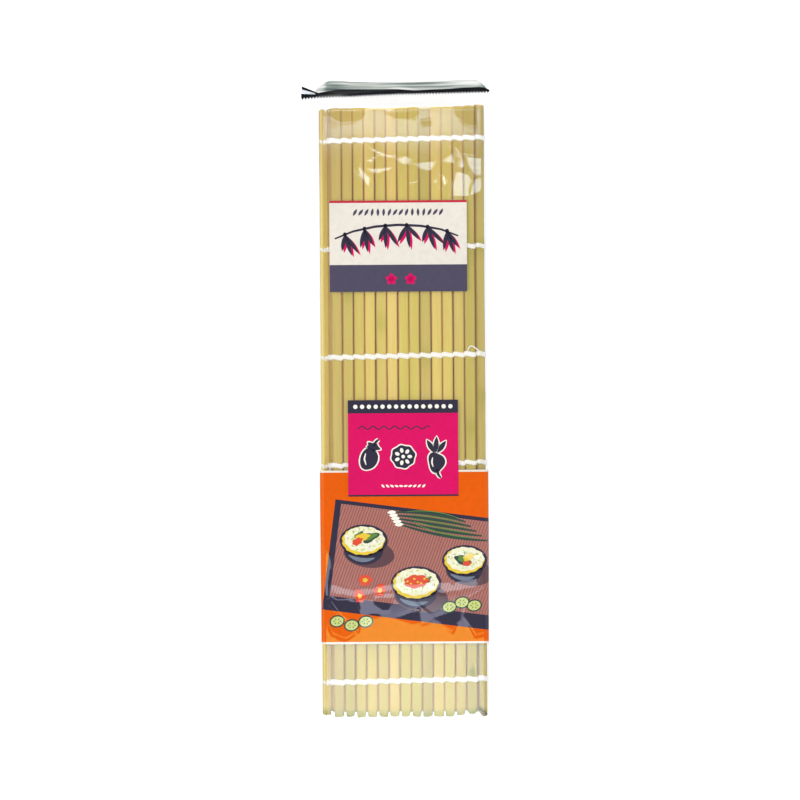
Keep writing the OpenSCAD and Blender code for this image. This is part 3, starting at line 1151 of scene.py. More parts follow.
FACETS = (
    Facet(((-20.3, 107.6), (-16.5, 100.3), (-13.7, 98.4), (-15.5, 104.2), (-18.4, 109.0)), -0.056),
    Facet(((-15.0, 107.8), (-13.4, 105.7), (-11.3, 105.0), (-7.1, 106.8), (-6.0, 108.3)), -0.054),
    Facet(((-12.8, 116.8), (-11.3, 113.7), (-9.2, 112.6), (-7.8, 114.1)), -0.047),
    Facet(((-8.6, 112.5), (-4.3, 112.3), (-3.9, 113.8), (-8.1, 114.1)), -0.048),
    Facet(((-1.8, 112.4), (-0.2, 108.9), (3.0, 109.4), (3.0, 111.6), (1.4, 113.4)), -0.050),
    Facet(((6.1, 110.0), (8.7, 106.8), (12.4, 106.2), (13.5, 111.2)), -0.052),
    Facet(((15.5, 99.5), (17.6, 97.3), (19.3, 100.8), (18.7, 104.2), (16.6, 105.9)), -0.058),
    Facet(((13.9, 101.9), (15.5, 99.0), (17.1, 100.0), (16.1, 105.3)), -0.058),
    Facet(((18.2, 111.3), (19.2, 109.9), (22.4, 109.4), (25.7, 111.1), (22.4, 114.8)), -0.050),
    Facet(((22.5, 119.0), (23.7, 107.9), (27.6, 106.3), (26.9, 112.9)), -0.050),
    Facet(((21.5, 94.7), (29.2, 95.0), (30.0, 102.6), (28.7, 106.9), (23.2, 106.3)), -0.059),
    Facet(((27.2, 113.2), (31.3, 104.2), (37.0, 104.2), (36.6, 112.0)), -0.052),
    Facet(((29.9, 94.9), (37.0, 98.4), (37.0, 104.0), (31.6, 102.9)), -0.059),
    Facet(((-15.5, 111.0), (-14.3, 109.9), (-12.7, 113.2)), -0.050),
    Facet(((3.1, 101.1), (3.7, 100.3), (5.5, 101.2), (5.8, 102.2)), -0.058),
    Facet(((-34.9, 132.0), (-30.7, 129.5), (-26.9, 127.6), (-18.0, 128.9), (-16.9, 133.6), (-31.2, 133.6)), 0.024),
    Facet(((-6.9, 132.5), (-3.8, 129.9), (2.5, 128.9), (6.2, 130.4), (6.8, 133.6)), 0.024),
    Facet(((23.6, 133.6), (24.2, 131.0), (27.8, 126.9), (32.6, 125.8), (32.1, 134.1)), 0.024),
    Facet(((-32.8, 128.9), (-29.9, 126.5), (-29.5, 127.9), (-32.8, 130.4)), 0.024),
    Facet(((8.3, 128.4), (8.8, 126.9), (12.5, 126.9), (12.0, 129.0)), 0.024),
    Facet(((-37.5, -81.6), (-33.9, -82.0), (-33.4, -63.1), (-36.0, -56.7), (-37.3, -56.7)), 0.029),
    Facet(((-33.4, -75.2), (-30.4, -80.5), (-23.8, -81.6), (-24.0, -78.9), (-28.8, -76.9)), 0.020),
    Facet(((-23.8, -81.7), (-19.3, -81.2), (-12.5, -79.6), (-12.4, -77.1), (-19.3, -77.9), (-23.8, -78.9)), 0.019),
    Facet(((-12.3, -79.7), (-6.3, -79.4), (-6.0, -75.7), (-12.3, -77.1)), 0.021),
    Facet(((-21.5, -82.5), (-19.9, -89.4), (-12.0, -89.4), (-15.0, -82.5)), 0.014),
    Facet(((-5.6, -75.7), (-4.0, -78.4), (0.2, -79.9), (7.6, -79.7), (1.3, -76.3)), 0.021),
    Facet(((1.5, -76.3), (7.8, -79.7), (14.0, -78.3), (19.8, -74.9)), 0.021),
    Facet(((14.9, -79.5), (16.0, -80.4), (30.3, -77.8), (31.8, -73.6), (23.9, -74.2)), 0.021),
    Facet(((24.6, -62.0), (27.6, -65.5), (31.9, -65.5), (31.9, -64.1), (27.1, -62.1)), 0.033),
    Facet(((31.9, -63.7), (32.0, -65.5), (36.2, -63.4), (35.6, -61.6)), 0.033),
    Facet(((5.4, -85.2), (6.9, -93.6), (9.8, -93.1), (12.3, -90.5)), 0.010),
    Facet(((21.3, -77.3), (23.3, -80.0), (24.5, -79.4)), 0.020),
    Facet(((-5.2, -91.6), (3.8, -94.8), (6.5, -93.1), (5.9, -87.3), (1.7, -88.4)), -0.024),
    Facet(((13.3, -90.5), (16.4, -94.8), (20.6, -97.4), (23.8, -91.0), (23.9, -86.2)), -0.024),
    Facet(((25.9, -90.5), (30.7, -99.0), (36.4, -98.4), (36.5, -78.4), (28.6, -83.1)), -0.024),
    Facet(((-36.2, -90.4), (-32.5, -97.9), (-26.8, -100.5), (-22.5, -97.9), (-32.5, -86.2), (-35.6, -82.6)), -0.024),
    Facet(((-31.9, -82.0), (-23.1, -95.7), (-21.0, -96.8), (-19.9, -90.4), (-21.7, -83.1)), -0.024),
    Facet(((-13.5, -85.2), (-10.4, -87.8), (-7.8, -87.8), (-6.1, -81.5), (-12.5, -81.5)), -0.024),
)


@dataclass
class Packet:
    """The clear film packet: sleeve, drawn-in end and back seam."""

    bench: Bench
    corner_r: float = 2.0
    film_t: float = 0.12
    fine: float = 0.55
    coarse: float = 5.0
    arc_cuts: int = 6
    rows: tuple[tuple[float, float], ...] = ((-104.0, 2.8), (-56.0, 0.8), (91.0, 3.0), (1000.0, 0.55))
    fold_joint: str = "unfold"
    bunch_y: float = 141.5
    bunch_keep: float = 0.02
    film: FilmFinish = FilmFinish("clear_film", srgb(240, 244, 246), 0.006)
    end_film: FilmFinish = FilmFinish("end_film", srgb(246, 248, 250), 0.0, 0.006)
    seam: FilmFinish = FilmFinish("seam_film", srgb(224, 230, 238), 0.16, 0.1)

    def __post_init__(self) -> None:
        """Takes the sleeve's outline from the frame."""
        self.low, self.high = box_mm("film_sleeve")
        self.mid_x = (self.low.x + self.high.x) / 2
        self.half_flat = (self.high.x - self.low.x) / 2 - self.corner_r
        self.side = self.high.z - self.low.z - 2 * self.corner_r
        self.arc = math.pi * self.corner_r / 2
        self.half_round = 2 * self.half_flat + self.side + 2 * self.arc

    def section(self, s: float) -> tuple[float, float, float, float]:
        """Finds a point on the sleeve's outline.

        Args:
            s: Distance along the outline from the middle of its top, to the right.

        Returns:
            X, Z, and the outward normal's X and Z.
        """
        side = 1 if s >= 0 else -1
        left = abs(s)
        edge = self.half_flat + self.corner_r
        if left <= self.half_flat:
            return self.mid_x + s, self.high.z, 0.0, 1.0
        left -= self.half_flat
        if left <= self.arc:
            angle = left / self.corner_r
            x = self.half_flat + self.corner_r * math.sin(angle)
            z = self.high.z - self.corner_r + self.corner_r * math.cos(angle)
            return self.mid_x + side * x, z, side * math.sin(angle), math.cos(angle)
        left -= self.arc
        if left <= self.side:
            return self.mid_x + side * edge, self.high.z - self.corner_r - left, float(side), 0.0
        left -= self.side
        if left <= self.arc:
            angle = left / self.corner_r
            x = self.half_flat + self.corner_r * math.cos(angle)
            z = self.low.z + self.corner_r - self.corner_r * math.sin(angle)
            return self.mid_x + side * x, z, side * math.cos(angle), -math.sin(angle)
        left -= self.arc
        return self.mid_x + side * (self.half_flat - left), self.low.z, 0.0, -1.0

    def relief(self, s: float, y: float) -> float:
        """Gives how far the film stands out from its even outline."""
        top = 1 - ease((abs(s) - self.half_flat) / self.arc)
        lower = (abs(s) - self.half_flat - self.arc) / self.side
        side = ease((abs(s) - self.half_flat) / self.arc) * (1 - ease((lower - 0.6) / 0.4))
        near_end = ease((self.high.y - y) / 2)
        waves = 0.02 * math.sin(s / 8.3 + 1.0) * math.sin(y / 13 + 0.6) + 0.015 * math.sin(s / 15 + y / 21)
        folds = sum(facet.lift(self.mid_x + s, y) for facet in FACETS) if top > 0 else 0.0
        hollow = -0.12 * math.sin(y / 19 + 0.4) * side
        return (top * (0.06 + waves + folds) + hollow) * near_end

    def surface(self, s: float, y: float, lift: float = 0.0) -> Vector:
        """Finds a point on the film, or above it by a lift."""
        x, z, out_x, out_z = self.section(s)
        rise = self.relief(s, y) + lift
        return Vector((x + out_x * rise, y, z + out_z * rise))

    def around(self) -> list[float]:
        """Lists the places round the outline, close on the top and wide below."""
        half = steps(0, self.half_flat, self.fine)
        half += steps(half[-1], half[-1] + self.arc, self.arc / self.arc_cuts)[1:]
        half += steps(half[-1], half[-1] + self.side, self.coarse / 2)[1:]
        half += steps(half[-1], half[-1] + self.arc, self.arc / self.arc_cuts)[1:]
        half += steps(half[-1], self.half_round, self.coarse)[1:]
        return [-s for s in reversed(half[1:-1])] + half

    def along(self) -> list[float]:
        """Lists the places along the sleeve, close together where the film is crinkled."""
        places = [self.low.y]
        for end, pitch in self.rows:
            places += steps(places[-1], min(end, self.high.y), pitch)[1:]
        return places

    def crumple(self, piece: bpy.types.Object) -> None:
        """Gives a piece its own copy of its mesh."""
        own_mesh(piece)

    def sleeve(self) -> None:
        """Draws the film sleeve round the mat."""
        rings = [[self.surface(s, y) for s in self.around()] for y in self.along()]
        piece = loft("film_sleeve_skin", rings)
        face_out(piece)
        apply_modifier(piece, "SOLIDIFY", thickness=self.film_t * MM, offset=-1.0)
        smooth(piece, 60.0)
        self.bench.hand_over(piece, self.film, "packet", "film", "film_sleeve")
        self.crumple(piece)

    def shoulder(self) -> None:
        """Draws the end in from the sleeve to the flap's crease."""
        low, high = box_mm("film_shoulder")
        thin = 0.3
        end_low, end_high = high.z - 0.06 - thin, high.z - 0.06
        around = self.around()
        rings = []
        for k in steps(0, 1, 1 / 14):
            ring = []
            for s in around:
                start = self.surface(s, self.high.y)
                share = (start.x - self.low.x) / (self.high.x - self.low.x)
                on_top = abs(s) < self.half_flat + self.arc + self.side / 2
                flat = Vector((low.x + share * (high.x - low.x), high.y, end_high if on_top else end_low))
                point = start.lerp(flat, k)
                pleat = 0.0 if on_top else 0.35 * math.sin(s * 0.9) * math.sin(math.pi * k)
                point.z += pleat + (0.05 * math.sin(s / 3.7) * math.sin(math.pi * k) if on_top else 0.0)
                ring.append(point)
            rings.append(ring)
        piece = loft("film_shoulder_skin", rings)
        face_out(piece)
        apply_modifier(piece, "SOLIDIFY", thickness=self.film_t * MM, offset=-1.0)
        smooth(piece, 60.0)
        self.bench.hand_over(piece, self.end_film, "packet", "film", "film_shoulder")

    def back(self) -> None:
        """Draws the seam along the packet's back."""
        low, high = box_mm("back_seam")
        rings = []
        for y in steps(low.y, high.y, 3.0):
            wave = 0.02 * math.sin(y / 5)
            rings.append([(x, y, low.z + 0.15 + wave * math.sin(x)) for x in steps(low.x, high.x, 1.5)])
        piece = loft("back_seam_skin", rings, closed=False)
        apply_modifier(piece, "SOLIDIFY", thickness=self.film_t * MM, offset=1.0)
        face_out(piece)
        self.bench.hand_over(piece, self.seam, "packet", "film_seam", "back_seam")
        self.crumple(piece)

    def build(self) -> None:
        """Makes the packet's film pieces."""
        self.sleeve()
        self.shoulder()
        self.back()


@dataclass(frozen=True)
class Blot:
    """A patch of ink that spreads out from its middle."""

    at: Pair
    radii: Pair
    turn: float = 0.0
    lobes: int = 0
    wobble: float = 0.0
    leaf: bool = False

    def grid(self) -> bpy.types.Object:
        """Models the patch as a disc of triangles with a radius of 1."""
        deselect()
        bpy.ops.mesh.primitive_circle_add(vertices=36, radius=1.0, fill_type="TRIFAN")
        return bpy.context.object

    def place(self, x: float, y: float) -> Pair:
        """Moves a point of the disc to its place on the panel."""
        reach, angle = round(math.hypot(x, y)), math.atan2(y, x)
        form = 1 + self.wobble * math.cos(self.lobes * angle) + 0.4 * self.wobble * math.sin(3 * angle + 1)
        px, py = self.radii[0] * reach * form * math.cos(angle), self.radii[1] * reach * form * math.sin(angle)
        if self.leaf:
            py *= math.sqrt(max(0.0, 1 - (px / self.radii[0]) ** 2))
        c, s = math.cos(self.turn), math.sin(self.turn)
        return self.at[0] + px * c - py * s, self.at[1] + px * s + py * c


@dataclass(frozen=True)
class Stroke:
    """A line of ink with a width, along a few points."""

    path: tuple[Pair, ...]
    width: float
    taper: float = 0.0

    def grid(self) -> bpy.types.Object:
        """Models the line as an evenly divided strip from -1 to 1."""
        deselect()
        length = sum(math.dist(a, b) for a, b in zip(self.path, self.path[1:]))
        cuts = 1 if len(self.path) == 2 and not self.taper else math.ceil(length / 0.9)
        bpy.ops.mesh.primitive_grid_add(x_subdivisions=cuts, y_subdivisions=1, size=2.0)
        return bpy.context.object

    def place(self, x: float, y: float) -> Pair:
        """Moves a point of the strip to its place on the panel."""
        lengths = [math.dist(a, b) for a, b in zip(self.path, self.path[1:])]
        left = (x + 1) / 2 * sum(lengths)
        for (a, b), length in zip(zip(self.path, self.path[1:]), lengths):
            if left <= length + 1e-9:
                break
            left -= length
        share = min(1.0, left / length)
        along = ((b[0] - a[0]) / length, (b[1] - a[1]) / length)
        half = self.width / 2 * (1 - self.taper * abs(x) ** 2)
        return (a[0] + along[0] * share * length - along[1] * y * half,
                a[1] + along[1] * share * length + along[0] * y * half)


def arc(start: Pair, end: Pair, rise: float) -> tuple[Pair, ...]:
    """Bends the line between two points evenly.

    Args:
        start: First point.
        end: Last point.
        rise: How far the middle is moved up.

    Returns:
        Nine points along the bent line.
    """
    found = []
    for k in steps(0, 1, 1 / 8):
        lift = 4 * rise * k * (1 - k)
        found.append((start[0] + (end[0] - start[0]) * k, start[1] + (end[1] - start[1]) * k + lift))
    return tuple(found)


@dataclass
class Panel:
    """A printed panel that lies on the film, with its motifs."""

    packet: Packet
    node: str
    slot: str
    ground: Paint
    level: float = 0.0
    sheet_t: float = 0.05
    ink_t: float = 0.02
    ink_step: float = 0.025

    def __post_init__(self) -> None:
        """Takes the panel's place from the frame."""
        low, high = box_mm(self.node)
        self.top, self.height = high.y, high.y - low.y
        self.middle = (low.x + high.x) / 2 - self.packet.mid_x
        self.half = (high.x - low.x) / 2
        if self.half > self.packet.half_flat + self.packet.corner_r * 0.9:
            drop = high.z - low.z - self.packet.corner_r - 0.1
            self.middle = 0.0
            self.half = self.packet.half_flat + self.packet.arc + drop

    def lay(self, piece: bpy.types.Object, lift: float, thick: float) -> None:
        """Lays a flat piece, drawn on the panel in millimetres, on the film.

        Args:
            piece: The piece, with X from the panel's middle and Y up from its upper edge.
            lift: Height of its underside over the film.
            thick: Its thickness.
        """
        across = [s - self.middle for s in self.packet.around()]
        along = [y - self.top for y in self.packet.along()]
        corners = [vertex.co for vertex in piece.data.vertices]
        right, left = max(c.x for c in corners), min(c.x for c in corners)
        upper, lower = max(c.y for c in corners), min(c.y for c in corners)
        across = [x for x in [*across, -self.half, self.half] if left < x < right]
        along = [y for y in [*along, -self.height, 0.0] if lower < y < upper]
        inside = lambda c: abs(c.x) < self.half and -self.height < c.y < 0
        cut_along(piece.data, across, along, 1.0, inside)
        for vertex in piece.data.vertices:
            point = self.packet.surface(self.middle + vertex.co.x, self.top + vertex.co.y, lift + thick)
            vertex.co = point * MM
        apply_modifier(piece, "SOLIDIFY", thickness=thick * MM, offset=-1.0)
        smooth(piece, 60.0)

    def sheet(self) -> None:
        """Lays the panel's own ground."""
        deselect()
        bpy.ops.mesh.primitive_plane_add(size=1.0)
        piece = bpy.context.object
        piece.name = self.node + "_ground"
        for vertex in piece.data.vertices:
            vertex.co = (vertex.co.x * 2 * self.half, (vertex.co.y - 0.5) * self.height, 0.0)
        self.lay(piece, self.level, self.sheet_t)
        self.hand(piece, self.ground)

    def hand(self, piece: bpy.types.Object, paint: Paint) -> None:
        """Dresses a piece of the panel and puts it on the packet."""
        self.packet.bench.hand_over(piece, paint.value, "packet", self.slot, self.node)
        self.packet.crumple(piece)

    def ink(self, name: str, paint: Paint, layer: int, shapes: Sequence[Blot | Stroke]) -> None:
        """Prints shapes of one colour as one piece.

        Args:
            name: The piece's name.
            paint: Its ink.
            layer: Which layer of ink it is, from 1 up.
            shapes: Its shapes.
        """
        made = []
        for shape in shapes:
            piece = shape.grid()
            for vertex in piece.data.vertices:
                vertex.co = (*shape.place(vertex.co.x, vertex.co.y), 0.0)
            made.append(piece)
        piece = join(name, made)
        self.lay(piece, self.level + self.sheet_t + (layer - 1) * self.ink_step + 0.01, self.ink_t)
        self.hand(piece, paint)

    def band(self, y0: float, y1: float) -> Stroke:
        """Gives a band across the whole panel between two depths below its upper edge."""
        return Stroke(((-self.half, -(y0 + y1) / 2), (self.half, -(y0 + y1) / 2)), y1 - y0)


@dataclass
class TitlePanel(Panel):
    """The white panel with a dark band, and a bamboo branch where a title would stand."""

    stem: tuple[Pair, ...] = (
        (-28.0, -16.8), (-20.0, -13.6), (-10.0, -11.5), (0.0, -10.8), (10.0, -11.3), (19.0, -12.9), (26.5, -15.8),
    )
    nodes: tuple[Pair, ...] = ((-23.5, -14.9), (-14.8, -12.4), (-5.6, -11.1), (3.8, -10.9), (13.0, -11.7), (21.6, -13.6))
    sprays: tuple[tuple[float, float], ...] = ((-0.95, 9.4), (-1.4, 10.2), (-1.9, 8.0))

    def leaves(self, right: float, down: float) -> list[Blot]:
        """Lists the branch's leaves, moved by an offset."""
        found = []
        for i, (x, y) in enumerate(self.nodes):
            for k, (turn, length) in enumerate(self.sprays):
                turn, length = turn + 0.16 * math.sin(5.0 * i + k), length * (1 + 0.1 * math.cos(3.0 * i + 2 * k))
                half = length / 2
                at = (x + half * math.cos(turn) + right, y + half * math.sin(turn) - down)
                found.append(Blot(at, (half, 0.92), turn, leaf=True))
        return found

    def build(self) -> None:
        """Prints the title panel."""
        self.sheet()
        self.ink("title_top_line", Paint.RED, 1, [self.band(0.0, 1.0)])
        self.ink("title_band", Paint.PURPLE, 1, [self.band(28.4, self.height)])
        grains = [Blot((x, -5.2), (1.75, 0.62), 1.25 + 0.35 * math.cos(2.1 * x), leaf=True) for x in steps(-19, 19, 2.6)]
        self.ink("title_grains", Paint.PURPLE, 1, grains)
        self.ink("title_leaf_shadows", Paint.MAGENTA, 1, self.leaves(0.9, 0.8))
        twigs = [Stroke(self.stem, 1.1, 0.4)] + [Blot(at, (0.9, 0.9)) for at in self.nodes]
        self.ink("title_branch", Paint.NAVY, 2, twigs + self.leaves(0.0, 0.0))
        petals = []
        for x in (-3.1, 5.4):
            for k in range(5):
                turn = math.pi / 2 + k * 2 * math.pi / 5
                petals.append(Blot((x + 1.35 * math.cos(turn), -34.8 + 1.35 * math.sin(turn)), (1.25, 0.95), turn))
        self.ink("title_blossoms", Paint.MAGENTA, 2, petals)


@dataclass
class NamePanel(Panel):
    """The magenta panel with a dark head, and vegetables where a name would stand."""

    def vegetables(self, grow: float) -> list[Blot | Stroke]:
        """Draws an aubergine, a lotus root slice and a radish, grown by an outline's breadth."""
        aubergine = [
            Blot((-15.2, -26.0), (3.5 + grow, 5.4 + grow), -0.35, 2, 0.1),
            Blot((-13.2, -20.6), (2.9 + grow, 1.7 + grow), -0.35, 5, 0.12),
            Stroke(((-13.0, -20.5), (-12.2, -18.6), (-10.8, -17.4)), 1.1 + 2 * grow, 0.2),
        ]
        lotus = [Blot((0.0, -25.0), (5.2 + grow, 5.0 + grow), 0.2, 8, 0.045)]
        radish = [
            Blot((14.6, -27.6), (3.6 + grow, 4.4 + grow), 0.15, 3, 0.08),
            Stroke(((14.9, -30.5), (15.4, -33.0), (16.6, -34.6)), 1.2 + 2 * grow, 0.5),
            Blot((12.2, -20.6), (3.4 + grow, 1.1 + grow), 2.1, leaf=True),
            Blot((14.6, -19.8), (3.6 + grow, 1.1 + grow), 1.5, leaf=True),
            Blot((17.0, -20.8), (3.3 + grow, 1.1 + grow), 0.95, leaf=True),
        ]
        return aubergine + lotus + radish

    def build(self) -> None:
        """Prints the name panel."""
        self.sheet()
        self.ink("name_head", Paint.NAVY, 1, [self.band(0.0, 5.8)])
        self.ink("name_foot_line", Paint.NAVY, 1, [self.band(self.height - 0.7, self.height)])
        dots = [Blot((x, -2.9), (0.95, 0.95)) for x in steps(-21, 21, 3.0)]
        self.ink("name_head_dots", Paint.RICE, 2, dots)
        wave = tuple((x, -12.2 + 0.8 * math.sin(1.3 * x)) for x in steps(-20, 12, 0.8))
        self.ink("name_wave", Paint.NAVY, 1, [Stroke(wave, 0.5)])
        self.ink("name_outlines", Paint.RICE, 1, self.vegetables(0.55))
        self.ink("name_vegetables", Paint.NAVY, 2, self.vegetables(0.0))
        holes = [Blot((0.0, -25.0), (0.8, 0.8))]
        for k in range(7):
            turn = k * 2 * math.pi / 7
            holes.append(Blot((2.9 * math.cos(turn), -25.0 + 2.8 * math.sin(turn)), (1.05, 0.75), turn))
        gleams = [Stroke(((-16.6, -23.4), (-17.2, -26.0), (-16.4, -28.6)), 0.7, 0.6),
                  Stroke(((13.0, -25.4), (12.6, -27.6), (13.2, -29.6)), 0.7, 0.6)]
        self.ink("name_gleams", Paint.RICE, 3, holes + gleams)
        grains = [Blot((x, -38.0), (1.0, 0.45), 0.8 * math.sin(3 * x), leaf=True) for x in steps(-9, 9, 2.0)]
        self.ink("name_grains", Paint.RICE, 1, grains)


@dataclass
class PicturePanel(Panel):
    """The orange panel with bowls and vegetables on a board."""

    bowls: tuple[tuple[float, float, float], ...] = ((-18.0, -31.0, 9.4), (5.0, -50.0, 10.0), (26.5, -40.0, 8.8))
    seed: int = 5

    def build(self) -> None:
        """Prints the picture panel."""
        self.sheet()
        self.ink("picture_edges", Paint.WHITE, 1, [self.band(0.0, 0.9), self.band(self.height - 0.9, self.height)])
        self.ink("picture_board_edge", Paint.NAVY, 1, [Stroke(((-33.5, -37.0), (44.0, -47.0)), 49.0)])
        self.ink("picture_board", Paint.BOARD, 2, [Stroke(((-30.5, -35.0), (44.0, -44.6)), 41.0)])
        self.dishes()
        self.fillings()
        self.garnish()

    def dishes(self) -> None:
        """Prints the dark bowls with their rice and shadows."""
        shadows, bodies, gleams, shades, rice = [], [], [], [], []
        for x, y, r in self.bowls:
            shadows.append(Blot((x + 2.2, y - 0.62 * r), (1.2 * r, 0.66 * r), -0.12))
            bodies.append(Blot((x, y - 0.42 * r), (0.92 * r, 0.72 * r)))
            bodies.append(Blot((x, y), (r + 1.2, 0.66 * r + 0.9)))
            gleams.append(Stroke(arc((x - 0.72 * r, y - 0.68 * r), (x + 0.5 * r, y - 0.82 * r), -0.16 * r), 0.2 * r, 0.8))
            shades.append(Blot((x - 0.3, y - 0.1), (r, 0.66 * r), 0.0, 13, 0.03))
            rice.append(Blot((x + 0.2, y + 0.6), (0.94 * r, 0.6 * r), 0.0, 11, 0.04))
        self.ink("picture_shadows", Paint.SHADE, 3, shadows)
        self.ink("picture_bowls", Paint.NAVY, 4, bodies)
        self.ink("picture_bowl_gleams", Paint.STEEL, 5, gleams)
        self.ink("picture_rice_shade", Paint.YELLOW, 5, shades)
        self.ink("picture_rice", Paint.CREAM, 6, rice)

    def fillings(self) -> None:
        """Prints what lies on the rice."""
        odds = random.Random(self.seed)
        grains, hollows, greens, yellows, carrots = [], [], [], [], []
        for x, y, r in self.bowls:
            for i in range(64):
                turn, reach = odds.uniform(0, 2 * math.pi), odds.uniform(0.45, 0.94)
                at = (x + reach * 0.9 * r * math.cos(turn), y + 0.6 + reach * 0.56 * r * math.sin(turn))
                (grains if i % 2 else hollows).append(Blot(at, (0.8, 0.36), odds.uniform(0, 3), leaf=True))
        (ax, ay, _), (bx, by, _), (cx, cy, _) = self.bowls
        greens += [Blot((ax + 2.6, ay + 1.4), (3.9, 2.0), 0.3, 3, 0.15), Blot((cx - 1.0, cy + 0.2), (3.6, 1.9), -0.3, 4, 0.12),
                   Blot((ax - 2.2, ay + 2.2), (2.2, 1.2), 0.8, 3, 0.15), Blot((bx + 5.4, by + 1.6), (1.6, 0.9), 0.8, 3, 0.15)]
        yellows += [Blot((ax - 0.6, ay + 1.6), (3.2, 1.6), 0.2, 5, 0.1), Blot((cx + 1.8, cy + 1.4), (2.6, 1.5), 0.4, 5, 0.1)]
        carrots += [Blot((ax - 2.8, ay - 0.4), (2.4, 1.5), 0.5, 6, 0.12), Blot((bx, by + 0.8), (5.4, 2.9), 0.1, 7, 0.07),
                    Blot((cx + 1.0, cy - 1.4), (1.9, 1.1), 0.1, 5, 0.12)]
        self.ink("picture_hollows", Paint.PALE, 7, hollows)
        self.ink("picture_grains", Paint.RICE, 8, grains)
        self.ink("picture_greens", Paint.LEAF, 9, greens)
        self.ink("picture_greens_light", Paint.GREEN, 10, [
            Blot((b.at[0] + 0.3, b.at[1] + 0.3), (0.72 * b.radii[0], 0.6 * b.radii[1]), b.turn, 3, 0.15) for b in greens
        ])
        self.ink("picture_yellows", Paint.YELLOW, 11, yellows)
        self.ink("picture_carrots", Paint.CARROT, 12, carrots)
        beads = [Blot((bx + 1.5 * i - 3.8, by + 0.8 + 1.2 * math.sin(4.1 * i)), (0.5, 0.45)) for i in range(6)]
        self.ink("picture_beads", Paint.YELLOW, 13, beads)

    def garnish(self) -> None:
        """Prints the vegetables beside the bowls."""
        stalks = [Stroke(arc((-5.0 + 0.8 * i, -18.6 - 1.35 * i), (27.0 + 2.4 * i, -23.0 - 2.1 * i), 1.4 - 0.7 * i), 1.3, 0.5)
                  for i in range(5)]
        lights = [Stroke(arc((1.0 + i, -18.4 - 1.4 * i), (24.0 + 2 * i, -21.4 - 2.2 * i), 1.5 - 0.7 * i), 0.45, 0.6)
                  for i in range(5)]
        bulbs = [Blot((-5.6 + 0.8 * i, -18.6 - 1.35 * i), (2.0, 0.85), 0.05, leaf=True) for i in range(5)]
        self.ink("picture_stalks", Paint.LEAF, 3, stalks)
        self.ink("picture_sprigs", Paint.GREEN, 4, lights)
        self.ink("picture_bulbs", Paint.RICE, 5, bulbs)
        slices = ((-17.5, -48.5), (-11.0, -53.0), (-20.0, -55.5))
        self.ink("picture_slices", Paint.CARROT, 4, [Blot(at, (3.0, 2.4), i, 6, 0.12) for i, at in enumerate(slices)])
        cores = [Blot(at, (1.1, 0.9), i, 5, 0.1) for i, at in enumerate(slices)]
        self.ink("picture_slice_cores", Paint.YELLOW, 5, cores)
        rounds = ((19.6, -60.6), (25.2, -58.6), (30.6, -60.0), (-30.0, -66.6), (-23.6, -68.4), (-17.4, -66.8))
        self.ink("picture_rounds", Paint.LEAF, 4, [Blot(at, (3.4, 2.7), 0.2) for at in rounds])
        self.ink("picture_round_hearts", Paint.PALE, 5, [Blot(at, (2.8, 2.1), 0.2) for at in rounds])
        seeds = []
        for x, y in rounds:
            for k in range(6):
                turn = k * math.pi / 3
                seeds.append(Blot((x + 1.4 * math.cos(turn), y + math.sin(turn)), (0.5, 0.22), turn, leaf=True))
        self.ink("picture_round_seeds", Paint.GREEN, 6, seeds)


